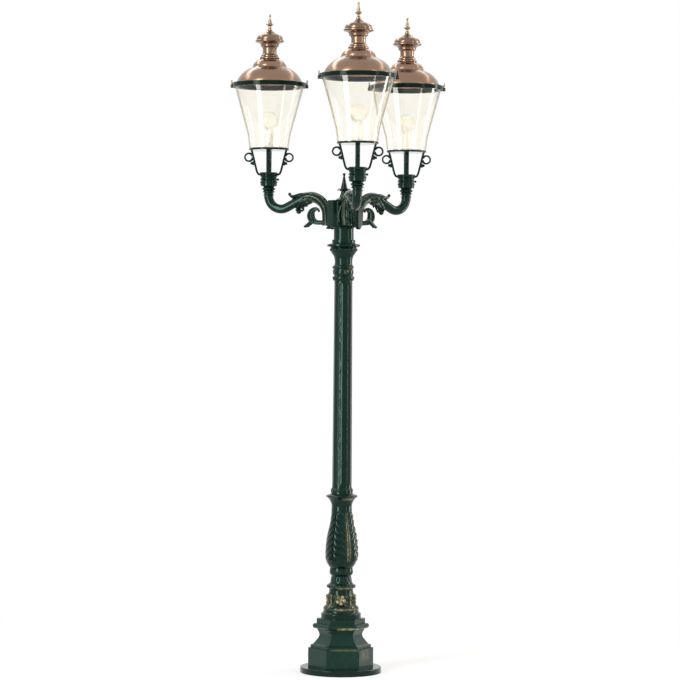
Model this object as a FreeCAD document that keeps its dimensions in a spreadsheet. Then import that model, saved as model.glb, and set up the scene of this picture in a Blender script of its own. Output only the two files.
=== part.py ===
import FreeCAD, Part
import os
import re

import Sketcher

# Triple head lamp post, in millimetres, +Z up.
# The origin is the centre of the base plate's underside. The front arm reaches along -Y.

os.makedirs("parts", exist_ok=True)
doc = FreeCAD.newDocument("triple_head_lamp_post")
sheet = doc.addObject("Spreadsheet::Sheet", "sizes")
names = []
pieces = []


def size(name, number):
    """One driving dimension: its name beside its number, or what it follows, in the sheet."""
    names.append(name)
    row = len(names)
    sheet.set(f"A{row}", name)
    sheet.set(f"B{row}", str(number))
    sheet.setAlias(f"B{row}", name)


# ---------------------------------------------------------------- fits
size("screw_clearance", 0.1)
size("pin_clearance", 0.05)
size("socket_clearance", 0.3)

# ---------------------------------------------------------------- base plate and plinth
size("plate_radius", 221)
size("plate_height", 30)
size("plate_edge", 4)
size("cable_entry_radius", 35)
size("anchor_circle_radius", 190)
size("anchor_hole_radius", 8)
size("plinth_screw_radius", 4)
size("plinth_screw_head_radius", 7)
size("plinth_screw_head_height", 8)
size("plinth_screw_recess", 2)
size("plinth_screw_grip", 18)

size("plinth_turn", -5)
size("plinth_wall", 14)
size("plinth_block_radius", 178)
size("plinth_block_height", 104)
size("plinth_ledge_radius", 165)
size("plinth_ledge_height", 16)
size("plinth_scotia_radius", 159)
size("plinth_waist_radius", 117)
size("plinth_scotia_height", 51)
size("plinth_flare_radius", 129)
size("plinth_flare_height", 38)
size("plinth_ring_radius", 154)
size("plinth_ring_height", 26)
size("plinth_ring_edge", 8)
size("plinth_step_radius", 132)
size("plinth_step_height", 28)

# ---------------------------------------------------------------- stacked castings of the post
size("post_bore", 43)

size("pedestal_step_radius", 111)
size("pedestal_step_height", 29)
size("pedestal_cove_radius", 96)
size("pedestal_cove_height", 15)
size("pedestal_lip_radius", 100)
size("pedestal_lip_height", 11)
size("pedestal_drum_wall", 35.5)
size("pedestal_drum_radius", "=post_bore + pedestal_drum_wall")
size("pedestal_drum_foot", 25)
size("pedestal_drum_height", 42)
size("pedestal_throat_wall", 24)
size("pedestal_throat_radius", "=post_bore + pedestal_throat_wall")
size("pedestal_throat_height", 40)
size("pedestal_torus_bulge", 15)
size("pedestal_torus_height", 25)
size("pedestal_neck_wall", 12)
size("pedestal_neck_radius", "=post_bore + pedestal_neck_wall")
size("pedestal_neck_height", 42)
size("pedestal_ring_wall", 25.5)
size("pedestal_ring_radius", "=post_bore + pedestal_ring_wall")
size("pedestal_ring_foot", 14)
size("pedestal_ring_height", 18)
size("pedestal_top_height", 13)

size("baluster_foot_wall", 23)
size("baluster_foot_radius", "=post_bore + baluster_foot_wall")
size("baluster_belly_wall", 47.5)
size("baluster_belly_radius", "=post_bore + baluster_belly_wall")
size("baluster_belly_height", 75)
size("baluster_waist_wall", 28)
size("baluster_waist_radius", "=post_bore + baluster_waist_wall")
size("baluster_waist_height", 148)
size("baluster_neck_wall", 15)
size("baluster_neck_radius", "=post_bore + baluster_neck_wall")
size("baluster_neck_height", 98)
size("baluster_flare_wall", 41)
size("baluster_flare_radius", "=post_bore + baluster_flare_wall")
size("baluster_flare_height", 65)
size("baluster_rim_wall", 45)
size("baluster_rim_radius", "=post_bore + baluster_rim_wall")
size("baluster_rim_height", 8)
size("baluster_top_height", 11)

size("shaft_foot_wall", 10.3)
size("shaft_foot_radius", "=post_bore + shaft_foot_wall")
size("shaft_top_wall", 6.1)
size("shaft_top_radius", "=post_bore + shaft_top_wall")
size("shaft_length", 1181)
size("shaft_socket_depth", 22)
size("shaft_screw_radius", 3)
size("shaft_screw_length", 9)

size("collar_wall", 6.7)
size("collar_radius", "=shaft_foot_radius + collar_wall")
size("collar_height", 34)

size("capital_ring_wall", 8.9)
size("capital_ring_radius", "=shaft_top_radius + capital_ring_wall")
size("capital_ring_height", 26)
size("capital_throat_wall", 7.7)
size("capital_throat_radius", "=post_bore + capital_throat_wall")
size("capital_knop_wall", 12.5)
size("capital_knop_radius", "=post_bore + capital_knop_wall")
size("capital_knop_height", 40)
size("capital_bead_wall", 13.7)
size("capital_bead_radius", "=post_bore + capital_bead_wall")
size("capital_bead_height", 14)
size("capital_neck_wall", 6.5)
size("capital_neck_radius", "=post_bore + capital_neck_wall")
size("capital_neck_foot", 8)
size("capital_bell_wall", 27)
size("capital_bell_radius", "=post_bore + capital_bell_wall")
size("capital_bell_height", 72)
size("capital_bead_ring_wall", 30.5)
size("capital_bead_ring_radius", "=post_bore + capital_bead_ring_wall")
size("capital_bead_ring_height", 22)
size("capital_rim_wall", 47)
size("capital_rim_radius", "=post_bore + capital_rim_wall")
size("capital_rim_height", 22)
size("capital_top_wall", 21)
size("capital_top_radius", "=post_bore + capital_top_wall")
size("capital_top_height", 20)

size("neck_tube_wall", 11.5)
size("neck_tube_radius", "=post_bore + neck_tube_wall")
size("neck_tube_length", 66)

# ---------------------------------------------------------------- hub, its finial and its bolts
size("hub_height", 148)
size("hub_face_distance", 67)
size("hub_corner_offset", 27)
size("hub_corner_distance", "=hub_face_distance + hub_corner_offset")
size("hub_top_wall", 12)
size("hub_finial_radius", 46)
size("hub_finial_flare_height", 30)
size("hub_finial_neck_radius", 13)
size("hub_finial_leaf_radius", 30)
size("hub_finial_leaf_height", 32)
size("hub_finial_spire_radius", 14)
size("hub_finial_spire_height", 72)
size("hub_finial_tip_radius", 4)
size("hub_finial_ball_radius", 8.5)

size("arm_bolt_radius", 4)
size("arm_bolt_head_radius", 8)
size("arm_bolt_head_height", 6)
size("arm_bolt_spread", 78)
size("arm_bolt_rise", 108)
size("arm_bolt_grip", 12)
size("wire_hole_radius", 8)
size("wire_hole_height", 44)

# ---------------------------------------------------------------- arms, seen from the side
size("front_arm_angle", -90)
size("arm_spacing", 120)
size("arm_reach", 445)
size("arm_tube_radius", 26)
size("arm_bore_radius", 18)
size("arm_plate_thickness", 12)
size("arm_plate_width", 100)
size("arm_plate_height", 140)
size("arm_stem_offset", 32)
size("arm_stem_reach", "=hub_face_distance + arm_stem_offset")
size("arm_stem_foot", 14)
size("arm_crest_radius", 101)
size("arm_crest_reach", "=arm_stem_reach + arm_crest_radius")
size("arm_crest_height", 69)
size("arm_bend_radius", 75)
size("arm_end_height", 180)
size("scroll_offset", 72)
size("scroll_reach", "=arm_stem_reach + scroll_offset")
size("scroll_height", 65)
size("scroll_radius", 49)
size("scroll_eye_offset", 50)
size("scroll_eye_reach", "=arm_stem_reach + scroll_eye_offset")
size("scroll_eye_height", 69)
size("scroll_eye_radius", 25)
size("scroll_width", 30)
size("scroll_gap", 15)
size("leaf_width", 18)
size("leaf_ball_offset", 170.5)
size("leaf_ball_reach", "=arm_stem_reach + leaf_ball_offset")
size("leaf_ball_height", 97)
size("leaf_ball_radius", 15)

# ---------------------------------------------------------------- lantern
size("lantern_turn", -9.1)
size("spigot_foot_radius", 31)
size("spigot_waist_radius", 26.5)
size("spigot_waist_height", 22)
size("spigot_knop_radius", 36)
size("spigot_knop_height", 24)
size("spigot_collar_radius", 45.5)
size("spigot_collar_foot", 5)
size("spigot_collar_height", 16)
size("spigot_radius", 32)
size("spigot_length", 55)

size("glass_foot_radius", 108.5)
size("glass_wall", 3)
size("glass_skirt_radius", 118)
size("glass_skirt_height", 72)
size("glass_top_radius", 194)
size("glass_height", 348)

size("sleeve_radius", 46.5)
size("sleeve_height", 60)
size("clamp_screw_radius", 4)
size("clamp_screw_head_radius", 6)
size("clamp_screw_head_length", 9)
size("clamp_screw_height", 21)
size("leg_foot_height", 31)
size("leg_knee_radius", 65)
size("leg_knee_height", 66)
size("leg_top_inset", 13.5)
size("leg_top_radius", "=glass_foot_radius - leg_top_inset")
size("leg_thickness", 17)
size("leg_width", 26)
size("cradle_height", 187)
size("cradle_ring_outset", 1.5)
size("cradle_ring_radius", "=glass_foot_radius + cradle_ring_outset")
size("cradle_ring_width", 18)
size("cradle_ring_height", 12)
size("ear_outset", 1)
size("ear_reach", "=cradle_ring_radius + ear_outset")
size("ear_height", 145)
size("ear_radius", 27)
size("ear_thickness", 11)
size("ear_nut_radius", 7)
size("ear_nut_length", 11)
size("ear_nut_height", 110)
size("ear_stud_radius", 3)

size("tray_thickness", 6)
size("tray_step_height", 4)
size("tray_step_play", 1)
size("tray_wire_radius", 8)
size("holder_foot_radius", 30)
size("holder_foot_height", 5)
size("holder_radius", 22)
size("holder_height", 92)
size("socket_depth", 28)
size("bulb_cap_radius", 13.7)
size("bulb_neck_radius", 20)
size("bulb_radius", 46.5)
size("bulb_centre_height", 59)

size("ring_overhang", 10)
size("ring_radius", "=glass_top_radius + ring_overhang")
size("ring_thickness", 12)
size("ring_skirt_inset", 8)
size("ring_skirt_radius", "=glass_top_radius - glass_wall - ring_skirt_inset")
size("ring_skirt_wall", 6)
size("ring_skirt_height", 18)
size("hinge_pin_outset", 5)
size("hinge_pin_reach", "=ring_radius + hinge_pin_outset")
size("hinge_pin_drop", 20)
size("hinge_pin_radius", 2.5)
size("knuckle_radius", 6)
size("knuckle_width", 10)
size("knuckle_play", 0.4)
size("pin_ear_thickness", 5)
size("pin_ear_height", 16)
size("finger_height", 16)
size("finger_thickness", 6)
size("finger_gap", 0.6)

size("hood_wall", 2)
size("hood_rim_inset", 17)
size("hood_rim_radius", "=ring_radius - hood_rim_inset")
size("hood_inset", 5)
size("hood_radius", "=hood_rim_radius - hood_inset")
size("hood_rim_height", 3)
size("hood_shoulder_radius", 94)
size("hood_shoulder_height", 86)
size("hood_throat_radius", 54.5)
size("hood_height", 130)
size("hood_opening_radius", 44)

size("chimney_bead_radius", 54)
size("chimney_bead_height", 12)
size("chimney_neck_radius", 40)
size("chimney_neck_height", 26)
size("chimney_top_radius", 58)
size("chimney_top_height", 42)
size("chimney_wall", 4)
size("chimney_spigot_depth", 14)
size("cap_radius", 78)
size("cap_foot_height", 12)
size("cap_height", 64)
size("cap_top_radius", 16)
size("finial_foot_height", 12)
size("finial_ring_radius", 18)
size("finial_ring_height", 44)
size("finial_spire_foot_radius", 10)
size("finial_spire_radius", 5)
size("finial_ball_radius", 7.5)
size("finial_height", 93)
doc.recompute()

ARM_ANGLES = {
    "front": "front_arm_angle",
    "left": "front_arm_angle - arm_spacing",
    "right": "front_arm_angle + arm_spacing",
}
# The hoods of the front and left lanterns open to the left, and that of the right lantern to the right.
HOOD_TURNS = {"front": "lantern_turn + 180", "left": "lantern_turn + 180", "right": "lantern_turn"}

# Heights of the seats where one casting of the post stands on the one below it.
PLINTH_TOP = (
    "(plate_height + plinth_block_height + plinth_ledge_height + plinth_scotia_height"
    " + plinth_flare_height + plinth_ring_height + plinth_step_height)"
)
PEDESTAL_HEIGHT = (
    "(pedestal_step_height + pedestal_cove_height + pedestal_lip_height + pedestal_drum_foot"
    " + pedestal_drum_height + pedestal_throat_height + pedestal_torus_height"
    " + pedestal_neck_height + pedestal_ring_foot + pedestal_ring_height + pedestal_top_height)"
)
BALUSTER_HEIGHT = (
    "(baluster_belly_height + baluster_waist_height + baluster_neck_height"
    " + baluster_flare_height + baluster_rim_height + baluster_top_height)"
)
CAPITAL_HEIGHT = (
    "(capital_ring_height + capital_knop_height + capital_bead_height + capital_neck_foot"
    " + capital_bell_height + capital_bead_ring_height + capital_rim_height + capital_top_height)"
)
BALUSTER_SEAT = f"({PLINTH_TOP} + {PEDESTAL_HEIGHT})"
SHAFT_SEAT = f"({BALUSTER_SEAT} + {BALUSTER_HEIGHT})"
CAPITAL_SEAT = f"({SHAFT_SEAT} + shaft_length - shaft_socket_depth)"
NECK_SEAT = f"({CAPITAL_SEAT} + {CAPITAL_HEIGHT})"
HUB_SEAT = f"({NECK_SEAT} + neck_tube_length)"
LANTERN_SEAT = f"({HUB_SEAT} + arm_end_height)"

# Heights within a lantern, above the arm's end.
SLEEVE_SEAT = "(spigot_waist_height + spigot_knop_height + spigot_collar_foot + spigot_collar_height)"
TRAY_SEAT = f"({SLEEVE_SEAT} + cradle_height)"
GLASS_SEAT = f"({TRAY_SEAT} + tray_thickness)"
RING_SEAT = f"({GLASS_SEAT} + glass_height)"
HOOD_SEAT = f"({RING_SEAT} + ring_thickness)"
CHIMNEY_SEAT = f"({HOOD_SEAT} + hood_height)"
CAP_SEAT = f"({CHIMNEY_SEAT} + chimney_bead_height + chimney_neck_height + chimney_top_height)"
FINIAL_SEAT = f"({CAP_SEAT} + cap_foot_height + cap_height)"


# ---------------------------------------------------------------- helpers
def bound(expression):
    """The expression with each size read from the sheet."""
    return re.sub(r"[a-z]\w+", lambda word: f"sizes.{word[0]}" if word[0] in names else word[0], expression)


def number(expression):
    """The present value of an expression."""
    return float(sheet.evalExpression(expression))


def plane(body, role):
    """One of a body's own origin planes or axes."""
    return next(feature for feature in body.Origin.OriginFeatures if feature.Role == role)


def new_body(label):
    body = doc.addObject("PartDesign::Body", label)
    body.Label = label
    return body


def new_sketch(body, name, role, height="0"):
    """A sketch on one of the body's own planes, or above its horizontal plane."""
    sketch = body.newObject("Sketcher::SketchObject", name)
    sketch.AttachmentSupport = (plane(body, role), [""])
    sketch.MapMode = "FlatFace"
    if height != "0":
        sketch.setExpression(".AttachmentOffset.Base.z", bound(height))
    return sketch


def bind(sketch, constraint, expression):
    index = sketch.addConstraint(constraint)
    sketch.setExpression(f"Constraints[{index}]", bound(expression))


def pin_point(sketch, curve, end, across, up):
    """Holds one end of a curve at a place given by two expressions."""
    if across == "0":
        sketch.addConstraint(Sketcher.Constraint("PointOnObject", curve, end, -2))
    else:
        bind(sketch, Sketcher.Constraint("DistanceX", -1, 1, curve, end, number(across)), across)
    if up == "0":
        sketch.addConstraint(Sketcher.Constraint("PointOnObject", curve, end, -1))
    else:
        bind(sketch, Sketcher.Constraint("DistanceY", -1, 1, curve, end, number(up)), up)


def draw_circle(sketch, across, up, radius):
    centre = FreeCAD.Vector(number(across), number(up), 0)
    circle = sketch.addGeometry(Part.Circle(centre, FreeCAD.Vector(0, 0, 1), number(radius)), False)
    pin_point(sketch, circle, 3, across, up)
    bind(sketch, Sketcher.Constraint("Radius", circle, number(radius)), radius)


def draw_outline(sketch, corners):
    """A closed outline, drawn counter-clockwise from corners (across, up) or (across, up, bulge).

    The bulge is how far the edge that leaves the corner swells outwards as an arc, or sinks
    inwards where it is negative.
    """
    places = [FreeCAD.Vector(number(corner[0]), number(corner[1]), 0) for corner in corners]
    ends = []
    for index, corner in enumerate(corners):
        start = places[index]
        end = places[(index + 1) % len(corners)]
        if len(corner) == 2:
            sketch.addGeometry(Part.LineSegment(start, end), False)
            ends.append((1, 2))
            continue
        chord = end - start
        outwards = FreeCAD.Vector(chord.y, -chord.x, 0).normalize()
        middle = (start + end) / 2 + outwards * number(corner[2])
        sketch.addGeometry(Part.Arc(start, middle, end), False)
        ends.append((1, 2) if number(corner[2]) > 0 else (2, 1))
    for index, corner in enumerate(corners):
        following = (index + 1) % len(corners)
        sketch.addConstraint(
            Sketcher.Constraint("Coincident", index, ends[index][1], following, ends[following][0]))
        pin_point(sketch, index, ends[index][0], corner[0], corner[1])
        if len(corner) == 3:
            across, up = corners[following][:2]
            chord_squared = f"(({across} - ({corner[0]}))^2 + ({up} - ({corner[1]}))^2)"
            radius = f"({chord_squared} / 4 + ({corner[2]})^2) / (2 * abs({corner[2]}))"
            bind(sketch, Sketcher.Constraint("Radius", index, number(radius)), radius)


def revolve(body, name, corners):
    """Material turned about the body's Z axis."""
    sketch = new_sketch(body, f"{name}_outline", "XZ_Plane")
    draw_outline(sketch, corners)
    doc.recompute()
    turned = body.newObject("PartDesign::Revolution", name)
    turned.Profile = sketch
    turned.ReferenceAxis = (sketch, ["V_Axis"])
    turned.Angle = 360
    return turned


def pad_both_ways(body, name, sketch, width):
    """Material of the given width, half on each side of the sketch."""
    doc.recompute()
    pad = body.newObject("PartDesign::Pad", name)
    pad.Profile = sketch
    pad.Midplane = True
    pad.setExpression("Length", bound(width))
    return pad


def primitive(feature, place, **sizes_of_it):
    """Binds a primitive's sizes and the place of its origin."""
    for name, expression in sizes_of_it.items():
        feature.setExpression(name, bound(expression))
    for letter, expression in zip("xyz", place):
        feature.setExpression(f".Placement.Base.{letter}", bound(expression))
    return feature


def ball_up_to_axis(foot_radius, ball_radius, centre):
    """The corners of a ball on top of a turned piece, from its foot up to the axis."""
    foot = f"({centre} - sqrt({ball_radius}^2 - ({foot_radius})^2))"
    top = f"({centre} + {ball_radius})"
    half_chord_squared = f"((({foot_radius})^2 + ({top} - {foot})^2) / 4)"
    return [
        (foot_radius, foot, f"({ball_radius} - sqrt({ball_radius}^2 - {half_chord_squared}))"),
        ("0", top),
    ]


# A cylinder's own axis is Z, so this turns it to point along X.
ALONG_X = FreeCAD.Rotation(FreeCAD.Vector(0, 1, 0), 90)


def bar_along_x(feature, place, radius, length, spin=0):
    """A cylinder from its place outwards along X, spun about the Z axis."""
    feature.Placement.Rotation = FreeCAD.Rotation(FreeCAD.Vector(0, 0, 1), spin) * ALONG_X
    return primitive(feature, place, Radius=radius, Height=length)


def drill(body, name, place, radius, length):
    """A vertical hole upwards from its place."""
    primitive(body.newObject("PartDesign::SubtractiveCylinder", name), place, Radius=radius, Height=length)


def finish(piece, x="0", y="0", z="0", turn="0"):
    """Sets where a finished piece stands and notes it as one of the nodes."""
    for letter, expression in (("x", x), ("y", y), ("z", z)):
        piece.setExpression(f".Placement.Base.{letter}", bound(expression))
    piece.setExpression(".Placement.Rotation.Angle", bound(turn))
    pieces.append(piece)


def finish_on_lantern(piece, side, height="0", turn="lantern_turn"):
    """Sets a finished piece on the lantern of one arm, at its height above the arm's end."""
    angle = ARM_ANGLES[side]
    across, over = f"arm_reach * cos({angle})", f"arm_reach * sin({angle})"
    finish(piece, across, over, f"{LANTERN_SEAT} + {height}", turn)


def group(label, solids):
    """Separate solids that share one node."""
    compound = doc.addObject("Part::Compound", label)
    compound.Label = label
    compound.Links = solids
    return compound


def around(count, start=0):
    """Equally spaced angles in degrees."""
    return [start + index * 360 / count for index in range(count)]


# ---------------------------------------------------------------- the post, from the ground up
def make_base_flange():
    body = new_body("base_flange")
    revolve(body, "plate", [
        ("cable_entry_radius", "0"),
        ("plate_radius", "0"),
        ("plate_radius", "plate_height - plate_edge", "plate_edge * 0.3"),
        ("plate_radius - plate_edge", "plate_height"),
        ("cable_entry_radius", "plate_height"),
    ])
    for angle in around(4, 45):
        place = (f"anchor_circle_radius * cos({angle})", f"anchor_circle_radius * sin({angle})", "0")
        drill(body, f"anchor_hole_{angle:.0f}", place, "anchor_hole_radius", "plate_height")
    for angle in around(6):
        place = plinth_screw_place(angle, "0")
        drill(body, f"screw_recess_{angle:.0f}", place, "plinth_screw_head_radius + screw_clearance",
              "plinth_screw_recess + plinth_screw_head_height")
        drill(body, f"screw_hole_{angle:.0f}", place, "plinth_screw_radius + screw_clearance",
              "plate_height")
    finish(body)


def plinth_screw_place(angle, height):
    """The plinth's screws stand in the middle of its six walls."""
    distance = "(plinth_block_radius * cos(30) - plinth_wall / 2)"
    turn = f"({angle} + plinth_turn + 30)"
    return (f"{distance} * cos({turn})", f"{distance} * sin({turn})", height)


def make_plinth_screws():
    screws = []
    for angle in around(6):
        head = primitive(
            doc.addObject("Part::Cylinder", "plinth_screw_head"),
            plinth_screw_place(angle, "plinth_screw_recess"),
            Radius="plinth_screw_head_radius", Height="plinth_screw_head_height")
        shank = primitive(
            doc.addObject("Part::Cylinder", "plinth_screw_shank"),
            plinth_screw_place(angle, "plinth_screw_recess"),
            Radius="plinth_screw_radius",
            Height="plate_height + plinth_screw_grip - plinth_screw_recess")
        screw = doc.addObject("Part::MultiFuse", "plinth_screw")
        screw.Shapes = [head, shank]
        screws.append(screw)
    finish(group("plinth_screws", screws))


def hexagon_prism(name, radius, height, foot):
    prism = doc.addObject("Part::Prism", name)
    prism.Polygon = 6
    prism.Placement.Rotation = FreeCAD.Rotation(FreeCAD.Vector(0, 0, 1), number("plinth_turn"))
    prism.setExpression(".Placement.Rotation.Angle", bound("plinth_turn"))
    return primitive(prism, ("0", "0", foot), Circumradius=radius, Height=height)


def hexagon_loft(name, sections):
    """A smooth skin through hexagons, each given as (radius, height)."""
    hexagons = []
    for radius, height in sections:
        hexagon = doc.addObject("Part::RegularPolygon", f"{name}_section")
        hexagon.Polygon = 6
        hexagon.setExpression(".Placement.Rotation.Angle", bound("plinth_turn"))
        hexagons.append(primitive(hexagon, ("0", "0", height), Circumradius=radius))
    loft = doc.addObject("Part::Loft", name)
    loft.Sections = hexagons
    loft.Solid = True
    return loft


def make_plinth():
    ledge = "(plate_height + plinth_block_height)"
    scotia = f"({ledge} + plinth_ledge_height)"
    waist = f"({scotia} + plinth_scotia_height)"
    flare = f"({waist} + plinth_flare_height)"
    step = f"({flare} + plinth_ring_height)"
    fall = "(plinth_scotia_radius - plinth_waist_radius)"
    rise = "(plinth_flare_radius - plinth_waist_radius)"
    solids = [
        hexagon_prism("plinth_block", "plinth_block_radius", "plinth_block_height", "plate_height"),
        hexagon_prism("plinth_ledge", "plinth_ledge_radius", "plinth_ledge_height", ledge),
        hexagon_loft("plinth_scotia", [
            ("plinth_scotia_radius", scotia),
            (f"plinth_waist_radius + {fall} * 0.55", f"{scotia} + plinth_scotia_height * 0.3"),
            (f"plinth_waist_radius + {fall} * 0.2", f"{scotia} + plinth_scotia_height * 0.65"),
            ("plinth_waist_radius", waist),
            (f"plinth_waist_radius + {rise} * 0.4", f"{waist} + plinth_flare_height * 0.5"),
            ("plinth_flare_radius", flare),
        ]),
        hexagon_loft("plinth_ring", [
            ("plinth_ring_radius - plinth_ring_edge", flare),
            ("plinth_ring_radius", f"{flare} + plinth_ring_height / 2"),
            ("plinth_ring_radius - plinth_ring_edge", step),
        ]),
        hexagon_prism("plinth_step", "plinth_step_radius", "plinth_step_height", step),
    ]
    casting = doc.addObject("Part::MultiFuse", "plinth_casting")
    casting.Shapes = solids
    chamber = hexagon_prism("plinth_chamber", "plinth_block_radius - plinth_wall / cos(30)",
                            "plinth_block_height - plinth_wall", "plate_height")
    bore = primitive(doc.addObject("Part::Cylinder", "plinth_bore"), ("0", "0", "plate_height"),
                     Radius="post_bore", Height=f"{PLINTH_TOP} - plate_height")
    holes = [chamber, bore]
    for angle in around(6):
        holes.append(primitive(
            doc.addObject("Part::Cylinder", "plinth_screw_hole"),
            plinth_screw_place(angle, "plate_height"),
            Radius="plinth_screw_radius + screw_clearance",
            Height="plinth_screw_grip + screw_clearance"))
    space = doc.addObject("Part::MultiFuse", "plinth_space")
    space.Shapes = holes
    plinth = doc.addObject("Part::Cut", "plinth")
    plinth.Label = "plinth"
    plinth.Base = casting
    plinth.Tool = space
    finish(plinth)


def make_pedestal():
    step = "pedestal_step_height"
    lip = f"({step} + pedestal_cove_height)"
    shoulder = f"({lip} + pedestal_lip_height)"
    drum = f"({shoulder} + pedestal_drum_foot)"
    throat = f"({drum} + pedestal_drum_height)"
    torus = f"({throat} + pedestal_throat_height)"
    neck = f"({torus} + pedestal_torus_height)"
    ring_foot = f"({neck} + pedestal_neck_height)"
    ring = f"({ring_foot} + pedestal_ring_foot)"
    body = new_body("pedestal")
    revolve(body, "turned", [
        ("post_bore", "0"),
        ("pedestal_step_radius", "0"),
        ("pedestal_step_radius", step, "-pedestal_cove_height / 4"),
        ("pedestal_cove_radius", lip),
        ("pedestal_lip_radius", shoulder, "pedestal_drum_foot / 8"),
        ("pedestal_drum_radius", drum),
        ("pedestal_drum_radius", throat, "-pedestal_throat_height / 10"),
        ("pedestal_throat_radius", torus, "pedestal_torus_bulge"),
        ("pedestal_throat_radius", neck, "-pedestal_neck_height / 10"),
        ("pedestal_neck_radius", ring_foot),
        ("pedestal_ring_radius", ring),
        ("pedestal_ring_radius", f"{ring} + pedestal_ring_height"),
        ("baluster_foot_radius", PEDESTAL_HEIGHT),
        ("post_bore", PEDESTAL_HEIGHT),
    ])
    finish(body, z=PLINTH_TOP)


def make_baluster():
    waist = "(baluster_belly_height + baluster_waist_height)"
    flare = f"({waist} + baluster_neck_height)"
    rim = f"({flare} + baluster_flare_height)"
    body = new_body("baluster")
    revolve(body, "turned", [
        ("post_bore", "0"),
        ("baluster_foot_radius", "0", "baluster_belly_height / 8"),
        ("baluster_belly_radius", "baluster_belly_height", "baluster_waist_height / 24"),
        ("baluster_waist_radius", waist, "-baluster_neck_height / 40"),
        ("baluster_neck_radius", flare, "-baluster_flare_height / 6"),
        ("baluster_flare_radius", rim),
        ("baluster_rim_radius", f"{rim} + baluster_rim_height / 2"),
        ("baluster_rim_radius", f"{rim} + baluster_rim_height"),
        ("collar_radius", BALUSTER_HEIGHT),
        ("post_bore", BALUSTER_HEIGHT),
    ])
    finish(body, z=BALUSTER_SEAT)


def shaft_screw_places():
    """Where the set screws stand: (height, outer radius of the ring that they go through)."""
    return [
        (f"{SHAFT_SEAT} + collar_height / 2", "collar_radius"),
        (f"{CAPITAL_SEAT} + shaft_socket_depth / 2", "capital_ring_radius"),
    ]


def cut_set_screws(body, height, ring_radius):
    for angle in around(3, 30):
        hole = body.newObject("PartDesign::SubtractiveCylinder", "set_screw_hole")
        start = f"({ring_radius} - shaft_screw_length - screw_clearance)"
        bar_along_x(hole, (f"{start} * cos({angle})", f"{start} * sin({angle})", height),
                    "shaft_screw_radius + screw_clearance", "shaft_screw_length * 2", angle)


def make_shaft_collar():
    body = new_body("shaft_collar")
    revolve(body, "turned", [
        ("shaft_foot_radius + socket_clearance", "0"),
        ("collar_radius", "0"),
        ("collar_radius", "collar_height * 0.7", "-collar_height / 20"),
        ("shaft_foot_radius + socket_clearance + 1", "collar_height"),
        ("shaft_foot_radius + socket_clearance", "collar_height"),
    ])
    cut_set_screws(body, "collar_height / 2", "collar_radius")
    finish(body, z=SHAFT_SEAT)


def make_shaft():
    body = new_body("shaft")
    revolve(body, "turned", [
        ("post_bore", "0"),
        ("shaft_foot_radius", "0"),
        ("shaft_top_radius", "shaft_length"),
        ("post_bore", "shaft_length"),
    ])
    cut_set_screws(body, "collar_height / 2", "collar_radius")
    cut_set_screws(body, "shaft_length - shaft_socket_depth / 2", "capital_ring_radius")
    finish(body, z=SHAFT_SEAT)


def make_shaft_screws():
    screws = []
    for height, ring_radius in shaft_screw_places():
        for angle in around(3, 30):
            start = f"({ring_radius} - shaft_screw_length)"
            screws.append(bar_along_x(
                doc.addObject("Part::Cylinder", "shaft_screw"),
                (f"{start} * cos({angle})", f"{start} * sin({angle})", height),
                "shaft_screw_radius", "shaft_screw_length", angle))
    finish(group("shaft_screws", screws))


def make_capital():
    knop = "capital_ring_height"
    bead = f"({knop} + capital_knop_height)"
    neck = f"({bead} + capital_bead_height)"
    bell = f"({neck} + capital_neck_foot)"
    beads = f"({bell} + capital_bell_height)"
    rim = f"({beads} + capital_bead_ring_height)"
    top = f"({rim} + capital_rim_height)"
    body = new_body("capital")
    revolve(body, "turned", [
        ("shaft_top_radius + socket_clearance", "0"),
        ("shaft_top_radius + socket_clearance + 2", "0"),
        ("capital_ring_radius", f"{knop} / 4", "capital_ring_height / 12"),
        ("capital_ring_radius", f"{knop} * 0.9"),
        ("capital_throat_radius", f"{knop} + 3", "capital_knop_radius - capital_throat_radius"),
        ("capital_throat_radius", bead),
        ("capital_bead_radius", f"{bead} + capital_bead_height / 3"),
        ("capital_bead_radius", f"{bead} + capital_bead_height * 0.8"),
        ("capital_neck_radius", bell, "-capital_bell_height / 8"),
        ("capital_bell_radius", beads, "capital_bead_ring_radius - capital_bell_radius"),
        ("capital_bell_radius", rim),
        ("capital_rim_radius", f"{rim} + capital_rim_height / 4"),
        ("capital_rim_radius", f"{top} - capital_rim_height / 4"),
        ("capital_top_radius", f"{top} + 2"),
        ("capital_top_radius", CAPITAL_HEIGHT),
        ("post_bore", CAPITAL_HEIGHT),
        ("post_bore", "shaft_socket_depth"),
        ("shaft_top_radius + socket_clearance", "shaft_socket_depth"),
    ])
    cut_set_screws(body, "shaft_socket_depth / 2", "capital_ring_radius")
    finish(body, z=CAPITAL_SEAT)


def make_neck_tube():
    body = new_body("neck_tube")
    revolve(body, "turned", [
        ("post_bore", "0"),
        ("neck_tube_radius", "0"),
        ("neck_tube_radius", "neck_tube_length"),
        ("post_bore", "neck_tube_length"),
    ])
    finish(body, z=NECK_SEAT)


def bolt_places(reach):
    """Places of one arm's four bolts in the frame of the arm, at a distance from the post's axis."""
    centre = "hub_height / 2"
    return [
        (reach, f"{side} * arm_bolt_spread / 2", f"{centre} + {level} * arm_bolt_rise / 2")
        for side in (-1, 1) for level in (-1, 1)
    ]


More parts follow.
